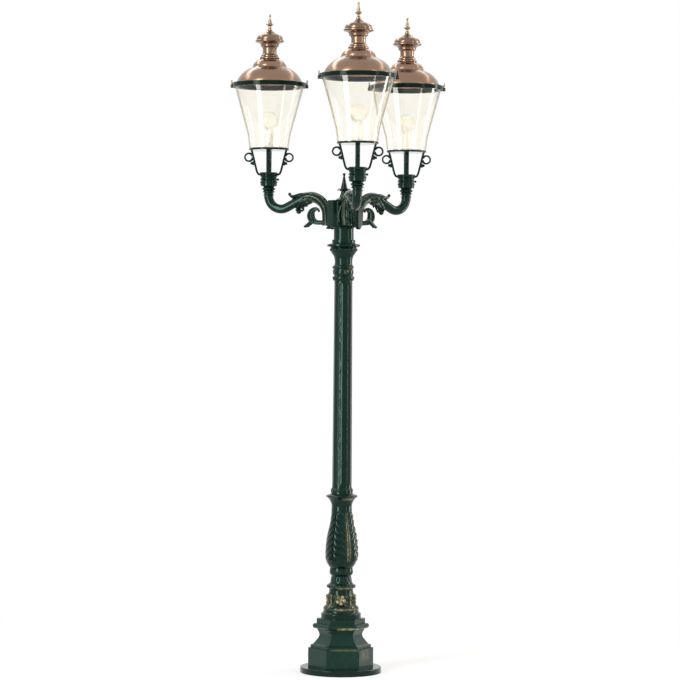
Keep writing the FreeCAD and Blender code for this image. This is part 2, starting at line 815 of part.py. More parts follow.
def make_arm_hub():
    body = new_body("arm_hub")
    sketch = new_sketch(body, "hub_outline", "XY_Plane")
    half_face = "(hub_corner_distance - hub_face_distance * cos(60)) / sin(60)"
    corners = []
    for angle in ARM_ANGLES.values():
        for side in ("-", "+"):
            across = f"hub_face_distance * cos({angle}) - ({side}1) * ({half_face}) * sin({angle})"
            up = f"hub_face_distance * sin({angle}) + ({side}1) * ({half_face}) * cos({angle})"
            corners.append((across, up))
    front, left, right = corners[0:2], corners[2:4], corners[4:6]
    draw_outline(sketch, front + right + left)
    doc.recompute()
    pad = body.newObject("PartDesign::Pad", "hub_block")
    pad.Profile = sketch
    pad.setExpression("Length", bound("hub_height"))
    drill(body, "hub_bore", ("0", "0", "0"), "post_bore", "hub_height - hub_top_wall")
    for side, angle in ARM_ANGLES.items():
        spin = number(angle)
        wire = body.newObject("PartDesign::SubtractiveCylinder", f"wire_hole_{side}")
        bar_along_x(wire, ("0", "0", "wire_hole_height"), "wire_hole_radius", "hub_corner_distance", spin)
        for reach, offset, height in bolt_places("(hub_face_distance - arm_bolt_grip - screw_clearance)"):
            hole = body.newObject("PartDesign::SubtractiveCylinder", f"bolt_hole_{side}")
            place = (f"{reach} * cos({angle}) - ({offset}) * sin({angle})",
                     f"{reach} * sin({angle}) + ({offset}) * cos({angle})", height)
            bar_along_x(hole, place, "arm_bolt_radius + screw_clearance", "arm_bolt_grip * 2", spin)
    finish(body, z=HUB_SEAT)


def make_hub_finial():
    leaf = "(hub_finial_flare_height + hub_finial_leaf_height)"
    ball = f"({leaf} + hub_finial_spire_height + hub_finial_ball_radius)"
    body = new_body("hub_finial")
    revolve(body, "turned", [
        ("0", "0"),
        ("hub_finial_radius", "0", "-hub_finial_flare_height / 4"),
        ("hub_finial_neck_radius", "hub_finial_flare_height", "-hub_finial_leaf_height / 8"),
        ("hub_finial_leaf_radius", f"{leaf} - 4"),
        ("hub_finial_spire_radius", leaf),
    ] + ball_up_to_axis("hub_finial_tip_radius", "hub_finial_ball_radius", ball))
    finish(body, z=f"{HUB_SEAT} + hub_height")


# ---------------------------------------------------------------- one arm, reaching along X
def draw_arm_path(sketch):
    """The middle line of the tube: up the stem, over the crest, down and up again to its end."""
    crest = FreeCAD.Vector(number("arm_crest_reach"), number("arm_crest_height"), 0)
    bend = FreeCAD.Vector(number("arm_reach - arm_bend_radius"), number("arm_end_height"), 0)
    big = number("arm_crest_radius")
    small = number("arm_bend_radius")
    link = bend - crest
    # The straight stretch is the cross tangent of the two arcs.
    inset = (big + small) / link.Length
    along = FreeCAD.Vector(link).normalize()
    aside = FreeCAD.Vector(-along.y, along.x, 0)
    radial = along * inset + aside * (1 - inset ** 2) ** 0.5
    foot = FreeCAD.Vector(number("arm_stem_reach"), number("arm_stem_foot"), 0)
    knee = FreeCAD.Vector(foot.x, crest.y, 0)
    leave = crest + radial * big
    arrive = bend - radial * small
    end = bend + FreeCAD.Vector(small, 0, 0)
    high = crest + FreeCAD.Vector(0, big, 0)
    low = bend - FreeCAD.Vector(0, small, 0)
    sketch.addGeometry(Part.LineSegment(foot, knee), False)
    sketch.addGeometry(Part.Arc(knee, high, leave), False)
    sketch.addGeometry(Part.LineSegment(leave, arrive), False)
    sketch.addGeometry(Part.Arc(arrive, low, end), False)
    pin_point(sketch, 0, 1, "arm_stem_reach", "arm_stem_foot")
    # The first arc runs clockwise, so its own start is where the straight stretch leaves it.
    sketch.addConstraint([
        Sketcher.Constraint("Tangent", 0, 2, 1, 2),
        Sketcher.Constraint("Tangent", 1, 1, 2, 1),
        Sketcher.Constraint("Tangent", 2, 2, 3, 1),
        Sketcher.Constraint("Vertical", 0),
    ])
    pin_point(sketch, 1, 3, "arm_crest_reach", "arm_crest_height")
    pin_point(sketch, 3, 3, "arm_reach - arm_bend_radius", "arm_end_height")
    bind(sketch, Sketcher.Constraint("DistanceX", -1, 1, 3, 2, number("arm_reach")), "arm_reach")
    bind(sketch, Sketcher.Constraint("DistanceY", -1, 1, 3, 2, number("arm_end_height")), "arm_end_height")


def pipe_along(body, kind, name, path, radius):
    sketch = new_sketch(body, f"{name}_section", "XY_Plane", "arm_stem_foot")
    draw_circle(sketch, "arm_stem_reach", "0", radius)
    doc.recompute()
    pipe = body.newObject(kind, name)
    pipe.Profile = sketch
    pipe.Spine = (path, [f"Edge{index}" for index in range(1, 5)])
    doc.recompute()


def pad_side_view(body, name, corners, width):
    """A leaf or band drawn from the side and padded both ways."""
    sketch = new_sketch(body, f"{name}_outline", "XZ_Plane")
    draw_outline(sketch, corners)
    pad_both_ways(body, name, sketch, width)


def make_arm(side):
    body = new_body(f"{side}_arm")
    path = new_sketch(body, "tube_path", "XZ_Plane")
    draw_arm_path(path)
    doc.recompute()
    pipe_along(body, "PartDesign::AdditivePipe", "tube", path, "arm_tube_radius")
    add_scroll(body)
    pipe_along(body, "PartDesign::SubtractivePipe", "wire_way", path, "arm_bore_radius")
    primitive(body.newObject("PartDesign::AdditiveCylinder", "stem_plug"),
              ("arm_stem_reach", "0", "arm_stem_foot - arm_plate_thickness / 2"),
              Radius="arm_tube_radius", Height="arm_plate_thickness")
    primitive(body.newObject("PartDesign::AdditiveBox", "mounting_plate"),
              ("hub_face_distance", "-arm_plate_width / 2", "(hub_height - arm_plate_height) / 2"),
              Length="arm_plate_thickness", Width="arm_plate_width", Height="arm_plate_height")
    wire = body.newObject("PartDesign::SubtractiveCylinder", "wire_hole")
    bar_along_x(wire, ("hub_face_distance", "0", "wire_hole_height"), "wire_hole_radius",
                "arm_stem_reach - hub_face_distance")
    for place in bolt_places("hub_face_distance"):
        hole = body.newObject("PartDesign::SubtractiveCylinder", "bolt_hole")
        bar_along_x(hole, place, "arm_bolt_radius + screw_clearance", "arm_plate_thickness")
    finish(body, z=HUB_SEAT, turn=ARM_ANGLES[side])


def add_scroll(body):
    """The C-scroll in the angle under the crest, the leaves on the tube and the ball below it."""
    sketch = new_sketch(body, "scroll_outline", "XZ_Plane")
    draw_circle(sketch, "scroll_reach", "scroll_height", "scroll_radius")
    draw_circle(sketch, "scroll_eye_reach", "scroll_eye_height", "scroll_eye_radius")
    pad_both_ways(body, "scroll", sketch, "scroll_width")
    stem_side = "(arm_stem_reach + arm_tube_radius)"
    primitive(body.newObject("PartDesign::SubtractiveBox", "scroll_opening"),
              (f"{stem_side} + 0.5", "-scroll_width / 2", "scroll_eye_height + scroll_eye_radius / 2"),
              Length="scroll_gap", Width="scroll_width", Height="scroll_radius")
    tail = "(scroll_height - scroll_radius)"
    pad_side_view(body, "tail_leaf", [
        ("scroll_reach + 14", f"{tail} + 2"),
        ("scroll_reach + 58", f"{tail} - 7"),
        ("scroll_reach + 60", f"{tail} + 1"),
        ("scroll_reach + 30", f"{tail} + 16"),
    ], "leaf_width")
    pad_side_view(body, "ball_leaf", [
        ("leaf_ball_reach - 8", "leaf_ball_height"),
        ("leaf_ball_reach + 8", "leaf_ball_height"),
        ("leaf_ball_reach + 20", "leaf_ball_height + 25"),
        ("leaf_ball_reach - 10", "leaf_ball_height + 40"),
    ], "leaf_width")
    pad_side_view(body, "horn_leaf", [
        ("leaf_ball_reach + 34", "leaf_ball_height + 52"),
        ("leaf_ball_reach + 41", "leaf_ball_height + 85"),
        ("leaf_ball_reach + 36", "leaf_ball_height + 89"),
        ("leaf_ball_reach + 4", "leaf_ball_height + 64"),
    ], "leaf_width")
    primitive(body.newObject("PartDesign::AdditiveSphere", "ball"),
              ("leaf_ball_reach", "0", "leaf_ball_height"), Radius="leaf_ball_radius")


def make_arm_bolts(side):
    bolts = []
    for reach, offset, height in bolt_places("(hub_face_distance - arm_bolt_grip)"):
        shank_length = "arm_bolt_grip + arm_plate_thickness + arm_bolt_head_height / 2"
        shank = bar_along_x(doc.addObject("Part::Cylinder", "arm_bolt_shank"), (reach, offset, height),
                            "arm_bolt_radius", shank_length)
        seat = "hub_face_distance + arm_plate_thickness"
        head = bar_along_x(doc.addObject("Part::Cylinder", "arm_bolt_head"), (seat, offset, height),
                           "arm_bolt_head_radius", "arm_bolt_head_height")
        bolt = doc.addObject("Part::MultiFuse", "arm_bolt")
        bolt.Shapes = [shank, head]
        bolts.append(bolt)
    finish(group(f"{side}_arm_bolts", bolts), z=HUB_SEAT, turn=ARM_ANGLES[side])


# ---------------------------------------------------------------- one lantern, about its own axis
def make_spigot(side):
    knop = "spigot_waist_height"
    collar_foot = f"({knop} + spigot_knop_height)"
    collar = f"({collar_foot} + spigot_collar_foot)"
    body = new_body(f"{side}_spigot")
    revolve(body, "turned", [
        ("arm_bore_radius", "0"),
        ("spigot_foot_radius", "0", "-(spigot_foot_radius - spigot_waist_radius)"),
        ("spigot_foot_radius", knop, "spigot_knop_radius - spigot_foot_radius"),
        ("spigot_foot_radius", collar_foot),
        ("spigot_collar_radius", collar),
        ("spigot_collar_radius", SLEEVE_SEAT),
        ("spigot_radius", SLEEVE_SEAT),
        ("spigot_radius", f"{SLEEVE_SEAT} + spigot_length"),
        ("arm_bore_radius", f"{SLEEVE_SEAT} + spigot_length"),
    ])
    finish_on_lantern(body, side)


def make_collar_screws(side):
    screws = []
    for angle in around(3):
        start = "(spigot_radius + socket_clearance)"
        shank = bar_along_x(
            doc.addObject("Part::Cylinder", "clamp_shank"),
            (f"{start} * cos({angle})", f"{start} * sin({angle})", "clamp_screw_height"),
            "clamp_screw_radius", "sleeve_radius - spigot_radius + 2", angle)
        head_start = "(sleeve_radius + 1)"
        head = bar_along_x(
            doc.addObject("Part::Cylinder", "clamp_head"),
            (f"{head_start} * cos({angle})", f"{head_start} * sin({angle})", "clamp_screw_height"),
            "clamp_screw_head_radius", "clamp_screw_head_length", angle)
        screw = doc.addObject("Part::MultiFuse", "clamp_screw")
        screw.Shapes = [shank, head]
        screws.append(screw)
    finish_on_lantern(group(f"{side}_collar_screws", screws), side, SLEEVE_SEAT)


def leg_outline():
    """One leg from the side, from the sleeve out and up to the bottom ring."""
    half = "leg_thickness / 2"
    return [
        ("sleeve_radius - 3", "leg_foot_height"),
        (f"leg_knee_radius + {half}", f"leg_knee_height - {half}", "leg_thickness / 8"),
        (f"leg_top_radius + {half}", "cradle_height - cradle_ring_height / 2"),
        (f"leg_top_radius - {half}", "cradle_height - cradle_ring_height / 2", "-leg_thickness / 8"),
        (f"leg_knee_radius - {half}", f"leg_knee_height + {half}"),
        ("sleeve_radius - 3", f"leg_foot_height + leg_thickness * 1.4"),
    ]


def repeat_around(body, name, originals, count):
    """Copies features about the body's Z axis."""
    doc.recompute()
    pattern = body.newObject("PartDesign::PolarPattern", name)
    pattern.Originals = originals
    pattern.Axis = (plane(body, "Z_Axis"), [""])
    pattern.Angle = 360
    pattern.Occurrences = count
    body.Tip = pattern
    doc.recompute()


def make_cradle(side):
    body = new_body(f"{side}_cradle")
    revolve(body, "sleeve", [
        ("spigot_radius + socket_clearance", "0"),
        ("sleeve_radius", "0"),
        ("sleeve_radius", "sleeve_height"),
        ("spigot_radius + socket_clearance", "sleeve_height"),
    ])
    sketch = new_sketch(body, "leg_outline", "XZ_Plane")
    draw_outline(sketch, leg_outline())
    leg = pad_both_ways(body, "leg", sketch, "leg_width")
    loop_sketch = new_sketch(body, "ear_outline", "XZ_Plane")
    draw_circle(loop_sketch, "ear_reach", "ear_height", "ear_radius")
    draw_circle(loop_sketch, "ear_reach", "ear_height", "ear_radius - ear_thickness")
    ear = pad_both_ways(body, "ear", loop_sketch, "leg_width")
    repeat_around(body, "legs", [leg, ear], 4)
    revolve(body, "bottom_ring", [
        ("cradle_ring_radius - cradle_ring_width", "cradle_height - cradle_ring_height"),
        ("cradle_ring_radius", "cradle_height - cradle_ring_height"),
        ("cradle_ring_radius", "cradle_height"),
        ("cradle_ring_radius - cradle_ring_width", "cradle_height"),
    ])
    for angle in around(4):
        hole = body.newObject("PartDesign::SubtractiveCylinder", "stud_hole")
        across, over = f"leg_knee_radius * cos({angle})", f"leg_knee_radius * sin({angle})"
        bar_along_x(hole, (across, over, "ear_nut_height"),
                    "ear_stud_radius + screw_clearance", "leg_top_radius - leg_knee_radius", angle)
    for angle in around(3):
        hole = body.newObject("PartDesign::SubtractiveCylinder", "clamp_hole")
        start = "(spigot_radius - 2)"
        bar_along_x(hole, (f"{start} * cos({angle})", f"{start} * sin({angle})", "clamp_screw_height"),
                    "clamp_screw_radius + screw_clearance", "sleeve_radius - spigot_radius + 6", angle)
    finish_on_lantern(body, side, SLEEVE_SEAT)


def make_ear_nuts(side):
    """Studs through the legs with their nuts outside, just clear of the sloping leg."""
    slope = "((leg_top_radius - leg_knee_radius) / (cradle_height - leg_knee_height))"
    above_knee = "(ear_nut_height + ear_nut_radius - leg_knee_height + leg_thickness / 2)"
    seat = f"(leg_knee_radius + leg_thickness * 5 / 8 + {slope} * {above_knee} + screw_clearance)"
    nuts = []
    for angle in around(4):
        stud_start = f"({seat} - leg_thickness / 2)"
        stud = bar_along_x(
            doc.addObject("Part::Cylinder", "ear_stud"),
            (f"{stud_start} * cos({angle})", f"{stud_start} * sin({angle})", "ear_nut_height"),
            "ear_stud_radius", "leg_thickness / 2 + ear_nut_length / 2", angle)
        nut = bar_along_x(
            doc.addObject("Part::Cylinder", "ear_nut_body"),
            (f"{seat} * cos({angle})", f"{seat} * sin({angle})", "ear_nut_height"),
            "ear_nut_radius", "ear_nut_length", angle)
        joined = doc.addObject("Part::MultiFuse", "ear_nut")
        joined.Shapes = [stud, nut]
        nuts.append(joined)
    finish_on_lantern(group(f"{side}_ear_nuts", nuts), side, SLEEVE_SEAT)


def make_lamp_tray(side):
    body = new_body(f"{side}_lamp_tray")
    step_radius = "glass_foot_radius - glass_wall - tray_step_play"
    revolve(body, "turned", [
        ("tray_wire_radius", "0"),
        ("cradle_ring_radius", "0"),
        ("cradle_ring_radius", "tray_thickness"),
        (step_radius, "tray_thickness"),
        (step_radius, "tray_thickness + tray_step_height"),
        ("tray_wire_radius", "tray_thickness + tray_step_height"),
    ])
    finish_on_lantern(body, side, TRAY_SEAT)


HOLDER_SEAT = f"({GLASS_SEAT} + tray_step_height)"


def make_lamp_holder(side):
    body = new_body(f"{side}_lamp_holder")
    revolve(body, "turned", [
        ("tray_wire_radius", "0"),
        ("holder_foot_radius", "0"),
        ("holder_foot_radius", "holder_foot_height"),
        ("holder_radius", "holder_foot_height * 1.6"),
        ("holder_radius", "holder_height"),
        ("bulb_cap_radius + socket_clearance", "holder_height"),
        ("bulb_cap_radius + socket_clearance", "holder_height - socket_depth"),
        ("tray_wire_radius", "holder_height - socket_depth"),
    ])
    finish_on_lantern(body, side, HOLDER_SEAT)


def make_bulb(side):
    """A globe lamp whose cap stands on the bottom of the holder's socket."""
    body = new_body(f"{side}_bulb")
    centre = "(socket_depth + bulb_centre_height)"
    revolve(body, "turned", [
        ("0", "0"),
        ("bulb_cap_radius", "0"),
        ("bulb_cap_radius", "socket_depth + 2"),
    ] + ball_up_to_axis("bulb_neck_radius", "bulb_radius", centre))
    finish_on_lantern(body, side, f"{HOLDER_SEAT} + holder_height - socket_depth")


def make_glass(side):
    body = new_body(f"{side}_glass")
    revolve(body, "turned", [
        ("glass_foot_radius - glass_wall", "0"),
        ("glass_foot_radius", "0"),
        ("glass_skirt_radius", "glass_skirt_height"),
        ("glass_top_radius", "glass_height"),
        ("glass_top_radius - glass_wall", "glass_height"),
        ("glass_skirt_radius - glass_wall", "glass_skirt_height"),
    ])
    finish_on_lantern(body, side, GLASS_SEAT)


PIN_HEIGHT = "(ring_thickness - hinge_pin_drop)"
EAR_OFFSET = "(knuckle_width / 2 + knuckle_play)"
PIN_LENGTH = f"(2 * {EAR_OFFSET} + 2 * pin_ear_thickness)"
# A cylinder turned so that it runs along Y, from its place towards +Y.
ALONG_Y = FreeCAD.Rotation(FreeCAD.Vector(1, 0, 0), -90)


def bar_along_y(feature, place, radius, length):
    feature.Placement.Rotation = ALONG_Y
    return primitive(feature, place, Radius=radius, Height=length)


def make_top_ring(side):
    """The ring on the glass, with a pair of ears for a pin at each of its two sides."""
    body = new_body(f"{side}_top_ring")
    revolve(body, "turned", [
        ("ring_skirt_radius - ring_skirt_wall", "0"),
        ("ring_skirt_radius", "0"),
        ("ring_skirt_radius", "ring_skirt_height"),
        ("ring_radius", "ring_skirt_height"),
        ("ring_radius", "ring_skirt_height + ring_thickness"),
        ("ring_skirt_radius - ring_skirt_wall", "ring_skirt_height + ring_thickness"),
    ])
    inner = "(glass_top_radius + 3)"
    outer = "(hinge_pin_reach + knuckle_radius)"
    for sign, start in (("1", inner), ("-1", f"(-{outer})")):
        for offset in (EAR_OFFSET, f"(-{EAR_OFFSET} - pin_ear_thickness)"):
            primitive(body.newObject("PartDesign::AdditiveBox", "pin_ear"),
                      (start, offset, "ring_skirt_height - pin_ear_height"),
                      Length=f"{outer} - {inner}", Width="pin_ear_thickness",
                      Height="pin_ear_height + ring_thickness / 4")
        pin_hole = body.newObject("PartDesign::SubtractiveCylinder", "pin_hole")
        bar_along_y(pin_hole, (f"{sign} * hinge_pin_reach", f"-{PIN_LENGTH} / 2",
                               f"ring_skirt_height + {PIN_HEIGHT}"),
                    "hinge_pin_radius + pin_clearance", PIN_LENGTH)
    finish_on_lantern(body, side, f"{RING_SEAT} - ring_skirt_height")


def make_hood_pins(side):
    pins = []
    for sign in ("1", "-1"):
        pins.append(bar_along_y(doc.addObject("Part::Cylinder", "hood_pin"),
                                (f"{sign} * hinge_pin_reach", f"-{PIN_LENGTH} / 2", PIN_HEIGHT),
                                "hinge_pin_radius", PIN_LENGTH))
    finish_on_lantern(group(f"{side}_hood_pins", pins), side, RING_SEAT)


def add_finger(body, sign):
    """A strap outside the ring's edge, from its knuckle on the pin up past the ring."""
    start = "(ring_radius + finger_gap)" if sign == "1" else "(-ring_radius - finger_gap - finger_thickness)"
    primitive(body.newObject("PartDesign::AdditiveBox", "finger"),
              (start, "-knuckle_width / 2", "-hinge_pin_drop"),
              Length="finger_thickness", Width="knuckle_width", Height="hinge_pin_drop + finger_height")
    knuckle = body.newObject("PartDesign::AdditiveCylinder", "knuckle")
    bar_along_y(knuckle, (f"{sign} * hinge_pin_reach", "-knuckle_width / 2", "-hinge_pin_drop"),
                "knuckle_radius", "knuckle_width")


def cut_pin_bore(body, sign):
    bore = body.newObject("PartDesign::SubtractiveCylinder", "pin_bore")
    bar_along_y(bore, (f"{sign} * hinge_pin_reach", "-knuckle_width / 2", "-hinge_pin_drop"),
                "hinge_pin_radius + pin_clearance", "knuckle_width")


def make_hood(side):
    """A spun shell. Its strap hinges it at +X of its own frame, and its tab meets the latch at -X."""
    body = new_body(f"{side}_hood")
    revolve(body, "shell", [
        ("ring_skirt_radius - ring_skirt_wall", "0"),
        ("hood_rim_radius", "0"),
        ("hood_rim_radius", "hood_rim_height"),
        ("hood_radius", "hood_rim_height", "hood_shoulder_height / 9"),
        ("hood_shoulder_radius", "hood_shoulder_height", "hood_shoulder_height / 20"),
        ("hood_throat_radius", "hood_height"),
        ("hood_opening_radius", "hood_height"),
        ("hood_opening_radius", "hood_height - hood_wall"),
        ("hood_throat_radius - hood_wall", "hood_height - hood_wall", "-hood_shoulder_height / 20"),
        ("hood_shoulder_radius - hood_wall", "hood_shoulder_height - hood_wall", "-hood_shoulder_height / 9"),
        ("hood_radius - hood_wall", "hood_rim_height - hood_wall / 2"),
        ("ring_skirt_radius - ring_skirt_wall", "hood_rim_height - hood_wall / 2"),
    ])
    tab_start = "(hood_radius - hood_wall)"
    primitive(body.newObject("PartDesign::AdditiveBox", "hinge_tab"),
              (tab_start, "-knuckle_width / 2", "0"),
              Length=f"ring_radius + finger_gap + finger_thickness - {tab_start}",
              Width="knuckle_width", Height="hood_rim_height")
    primitive(body.newObject("PartDesign::AdditiveBox", "latch_tab"),
              ("-ring_radius", "-knuckle_width / 2", "0"),
              Length=f"ring_radius - {tab_start}", Width="knuckle_width", Height="hood_rim_height")
    add_finger(body, "1")
    cut_pin_bore(body, "1")
    finish_on_lantern(body, side, HOOD_SEAT, HOOD_TURNS[side])


def make_latch(side):
    body = new_body(f"{side}_latch")
    add_finger(body, "-1")
    cut_pin_bore(body, "-1")
    finish_on_lantern(body, side, HOOD_SEAT, HOOD_TURNS[side])


def make_chimney(side):
    """The neck on the hood and its mushroom cap, one hollow spinning with a spigot in the hood."""
    spigot_radius = "(hood_opening_radius - socket_clearance)"
    neck = "(chimney_bead_height + chimney_neck_height)"
    cap = f"({neck} + chimney_top_height)"
    lip = f"({cap} + cap_foot_height)"
    body = new_body(f"{side}_chimney")
    inner = "(chimney_neck_radius - chimney_wall)"
    revolve(body, "turned", [
        (inner, "-chimney_spigot_depth"),
        (spigot_radius, "-chimney_spigot_depth"),
        (spigot_radius, "0"),
        ("chimney_bead_radius - 2", "0", "chimney_bead_height / 6"),
        ("chimney_bead_radius - 2", "chimney_bead_height", "-chimney_neck_height / 6"),
        ("chimney_neck_radius", neck, "-chimney_top_height / 6"),
        ("chimney_top_radius", f"{cap} - 6", "2"),
        ("chimney_top_radius", cap),
        ("cap_radius - 3", lip, "2"),
        ("cap_radius", f"{lip} + 6", "cap_height / 5"),
        ("cap_top_radius", f"{lip} + cap_height"),
        ("0", f"{lip} + cap_height"),
        ("0", f"{lip} + cap_height - chimney_wall"),
        (inner, f"{lip} + cap_height / 4"),
    ])
    finish_on_lantern(body, side, CHIMNEY_SEAT, HOOD_TURNS[side])


def make_finial(side):
    ball = "(finial_height - finial_ball_radius)"
    body = new_body(f"{side}_finial")
    revolve(body, "turned", [
        ("0", "0"),
        ("cap_top_radius - 2", "0"),
        ("cap_top_radius - 5", "finial_foot_height", "-1.5"),
        ("cap_top_radius - 5", "finial_ring_height - 15"),
        ("finial_ring_radius", "finial_ring_height - 10", "1.5"),
        ("finial_ring_radius", "finial_ring_height - 4"),
        ("finial_spire_foot_radius", "finial_ring_height + 2", "-2"),
    ] + ball_up_to_axis("finial_spire_radius", "finial_ball_radius", ball))
    finish_on_lantern(body, side, FINIAL_SEAT, HOOD_TURNS[side])


# ---------------------------------------------------------------- build everything
make_base_flange()
make_plinth_screws()
make_plinth()
make_pedestal()
make_baluster()
make_shaft_collar()
make_shaft()
make_shaft_screws()
make_capital()
make_neck_tube()
make_arm_hub()
make_hub_finial()
for arm_side in ARM_ANGLES:
    make_arm(arm_side)
    make_arm_bolts(arm_side)
    make_spigot(arm_side)
    make_collar_screws(arm_side)
    make_cradle(arm_side)
    make_ear_nuts(arm_side)
    make_lamp_tray(arm_side)
    make_lamp_holder(arm_side)
    make_bulb(arm_side)
    make_glass(arm_side)
    make_top_ring(arm_side)
    make_hood_pins(arm_side)
    make_hood(arm_side)
    make_latch(arm_side)
    make_chimney(arm_side)
    make_finial(arm_side)
doc.recompute()

for item in doc.Objects:
    assert "Invalid" not in item.State and "Error" not in item.State, f"{item.Name}: {item.State}"
for piece in pieces:
    assert not piece.Shape.isNull() and piece.Shape.isValid(), f"{piece.Label} has no valid shape"
    assert piece.Shape.Volume > 0, f"{piece.Label} is empty"
for piece in pieces:
    piece.Shape.exportStep(f"parts/{piece.Label}.step")
print(len(pieces), "pieces written")
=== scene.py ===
"""Looks of the triple head lamp post: camera, studio, finishes, and the pieces with their cast relief."""
from functools import partialmethod
from math import atan2, cos, hypot, pi, radians, sin, sqrt

import bpy
import numpy as np
from mathutils import Euler, Matrix, Vector


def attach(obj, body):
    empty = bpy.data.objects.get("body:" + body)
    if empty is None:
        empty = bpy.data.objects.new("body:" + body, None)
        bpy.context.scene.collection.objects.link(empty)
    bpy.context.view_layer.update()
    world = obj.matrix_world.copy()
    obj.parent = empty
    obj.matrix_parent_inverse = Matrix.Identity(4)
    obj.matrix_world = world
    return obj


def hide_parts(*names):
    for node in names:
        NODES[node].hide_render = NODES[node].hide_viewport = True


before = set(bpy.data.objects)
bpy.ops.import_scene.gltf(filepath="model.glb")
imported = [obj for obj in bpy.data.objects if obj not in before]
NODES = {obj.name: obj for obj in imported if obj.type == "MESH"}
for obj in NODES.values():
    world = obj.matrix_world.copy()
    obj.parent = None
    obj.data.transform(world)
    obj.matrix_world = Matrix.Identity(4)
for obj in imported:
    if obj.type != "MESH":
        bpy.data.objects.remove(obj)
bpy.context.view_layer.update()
SIDES = ("front", "left", "right")

# Where the three arms point, measured from +X, and how far the lanterns stand from the post.
ARM_ANGLE = {"front": radians(-90), "left": radians(150), "right": radians(30)}
ARM_REACH = 0.445
LANTERN_PLACE = {side: (ARM_REACH * cos(ARM_ANGLE[side]), ARM_REACH * sin(ARM_ANGLE[side]), 0) for side in SIDES}
LANTERN_TURN = radians(-9.1)
CAMERA_SIDE = radians(-9.1)
CAMERA_DISTANCE, CAMERA_HEIGHT, CAMERA_ROLL = 13.96, 1.972, radians(0.42)
ROOM_LIGHT = 0.55
FLOOR_RADIUS, FLOOR_LEVEL = 40, -0.0004


# ======== node trees written as arithmetic
class Wire:
    """What a node puts out. Arithmetic on it adds Math nodes to the same tree."""
    def __init__(self, tree, socket):
        self.tree, self.socket = tree, socket

    def maths(self, second, operation):
        return solved(self.tree, operation, self, second)

    __add__ = partialmethod(maths, operation="ADD")
    __sub__ = partialmethod(maths, operation="SUBTRACT")
    __mul__ = partialmethod(maths, operation="MULTIPLY")
    __truediv__ = partialmethod(maths, operation="DIVIDE")
    __pow__ = partialmethod(maths, operation="POWER")
    at_least = partialmethod(maths, operation="MAXIMUM")

    def ranged(self, low, high, to_low=0, to_high=1):
        """The value carried smoothly from one range to another."""
        ends = {"Value": self, "From Min": low, "From Max": high, "To Min": to_low, "To Max": to_high}
        return wire(self.tree, "ShaderNodeMapRange", ends, "Result", interpolation_type="SMOOTHSTEP")


def feed(value, socket):
    """Link a wire to the socket, or set the socket to a plain value."""
    if isinstance(value, Wire):
        value.tree.links.new(value.socket, socket)
    else:
        socket.default_value = value


def wire(tree, kind, feeds=None, output=0, **settings):
    """What a new node puts out, its inputs fed by name or number."""
    node = tree.nodes.new(kind)
    for name, value in settings.items():
        setattr(node, name, value)
    for key, value in (feeds or {}).items():
        feed(value, node.inputs[key])
    return Wire(tree, node.outputs[output])


def solved(tree, operation, first, second):
    return wire(tree, "ShaderNodeMath", {0: first, 1: second}, operation=operation)


def mixed(factor, first, second, kind="RGBA"):
    made = factor.tree.nodes.new("ShaderNodeMix")
    made.data_type = kind
    for label, value in (("Factor", factor), ("A", first), ("B", second)):
        feed(value, [s for s in made.inputs if s.name == label and s.enabled][0])
    return Wire(factor.tree, [s for s in made.outputs if s.enabled][0])


def object_place(tree):
    return wire(tree, "ShaderNodeTexCoord", output="Object")


def parts(vector):
    split = vector.tree.nodes.new("ShaderNodeSeparateXYZ")
    feed(vector, split.inputs[0])
    return [Wire(vector.tree, socket) for socket in split.outputs]


def from_parts(tree, *values):
    return wire(tree, "ShaderNodeCombineXYZ", dict(enumerate(values)))


def noise(vector, scale, detail=2, roughness=0.5):
    grain = {"Vector": vector, "Scale": scale, "Detail": detail, "Roughness": roughness}
    return wire(vector.tree, "ShaderNodeTexNoise", grain, "Fac")


def new_group(name, kind, inputs, outputs):
    """An empty node group, its sockets given by name, type and perhaps a default: tree, input wires, end sockets."""
    tree = bpy.data.node_groups.new(name, kind)
    for way, sockets in (("INPUT", inputs), ("OUTPUT", outputs)):
        for label, type_name, *default in sockets:
            socket = tree.interface.new_socket(label, in_out=way, socket_type="NodeSocket" + type_name)
            if default:
                socket.default_value = default[0]
    given = tree.nodes.new("NodeGroupInput").outputs
    return tree, {label: Wire(tree, given[label]) for label, *_ in inputs}, tree.nodes.new("NodeGroupOutput").inputs


# ======== camera, light and floor
def show(name, data):
    """A new object of the scene, at the origin."""
    made = bpy.data.objects.new(name, data)
    bpy.context.scene.collection.objects.link(made)
    return made


def around_post(side, distance, height):
    """A point at that distance from the post, side radians to the right of the view along +Y."""
    return Vector((distance * sin(side), -distance * cos(side), height))


def make_camera():
    lens = bpy.data.cameras.new("street_view")
    lens.lens = 135.5
    lens.sensor_width = 36
    lens.shift_x = -0.0047
    lens.shift_y = -0.044
    lens.clip_end = 200
    camera = show("street_view", lens)
    camera.location = around_post(CAMERA_SIDE, CAMERA_DISTANCE, CAMERA_HEIGHT)
    level = Euler((pi / 2, 0, CAMERA_SIDE)).to_matrix()
    camera.rotation_euler = (level @ Matrix.Rotation(CAMERA_ROLL, 3, "Z")).to_euler()
    bpy.context.scene.camera = camera


def strip_light(name, degrees, distance, height, width, length, power, colour, tilt=0):
    """A soft strip that many degrees to the camera's right, turned towards the post and tipped down by tilt."""
    side = CAMERA_SIDE + radians(degrees)
    lamp = bpy.data.lights.new(name, "AREA")
    lamp.shape = "RECTANGLE"
    lamp.size, lamp.size_y, lamp.energy, lamp.color = width, length, power, colour
    strip = show(name, lamp)
    strip.location = around_post(side, distance, height)
    strip.rotation_euler = (pi / 2 - radians(tilt), 0, side)


def emptied_tree(owner):
    owner.use_nodes = True
    owner.node_tree.nodes.clear()
    return owner.node_tree


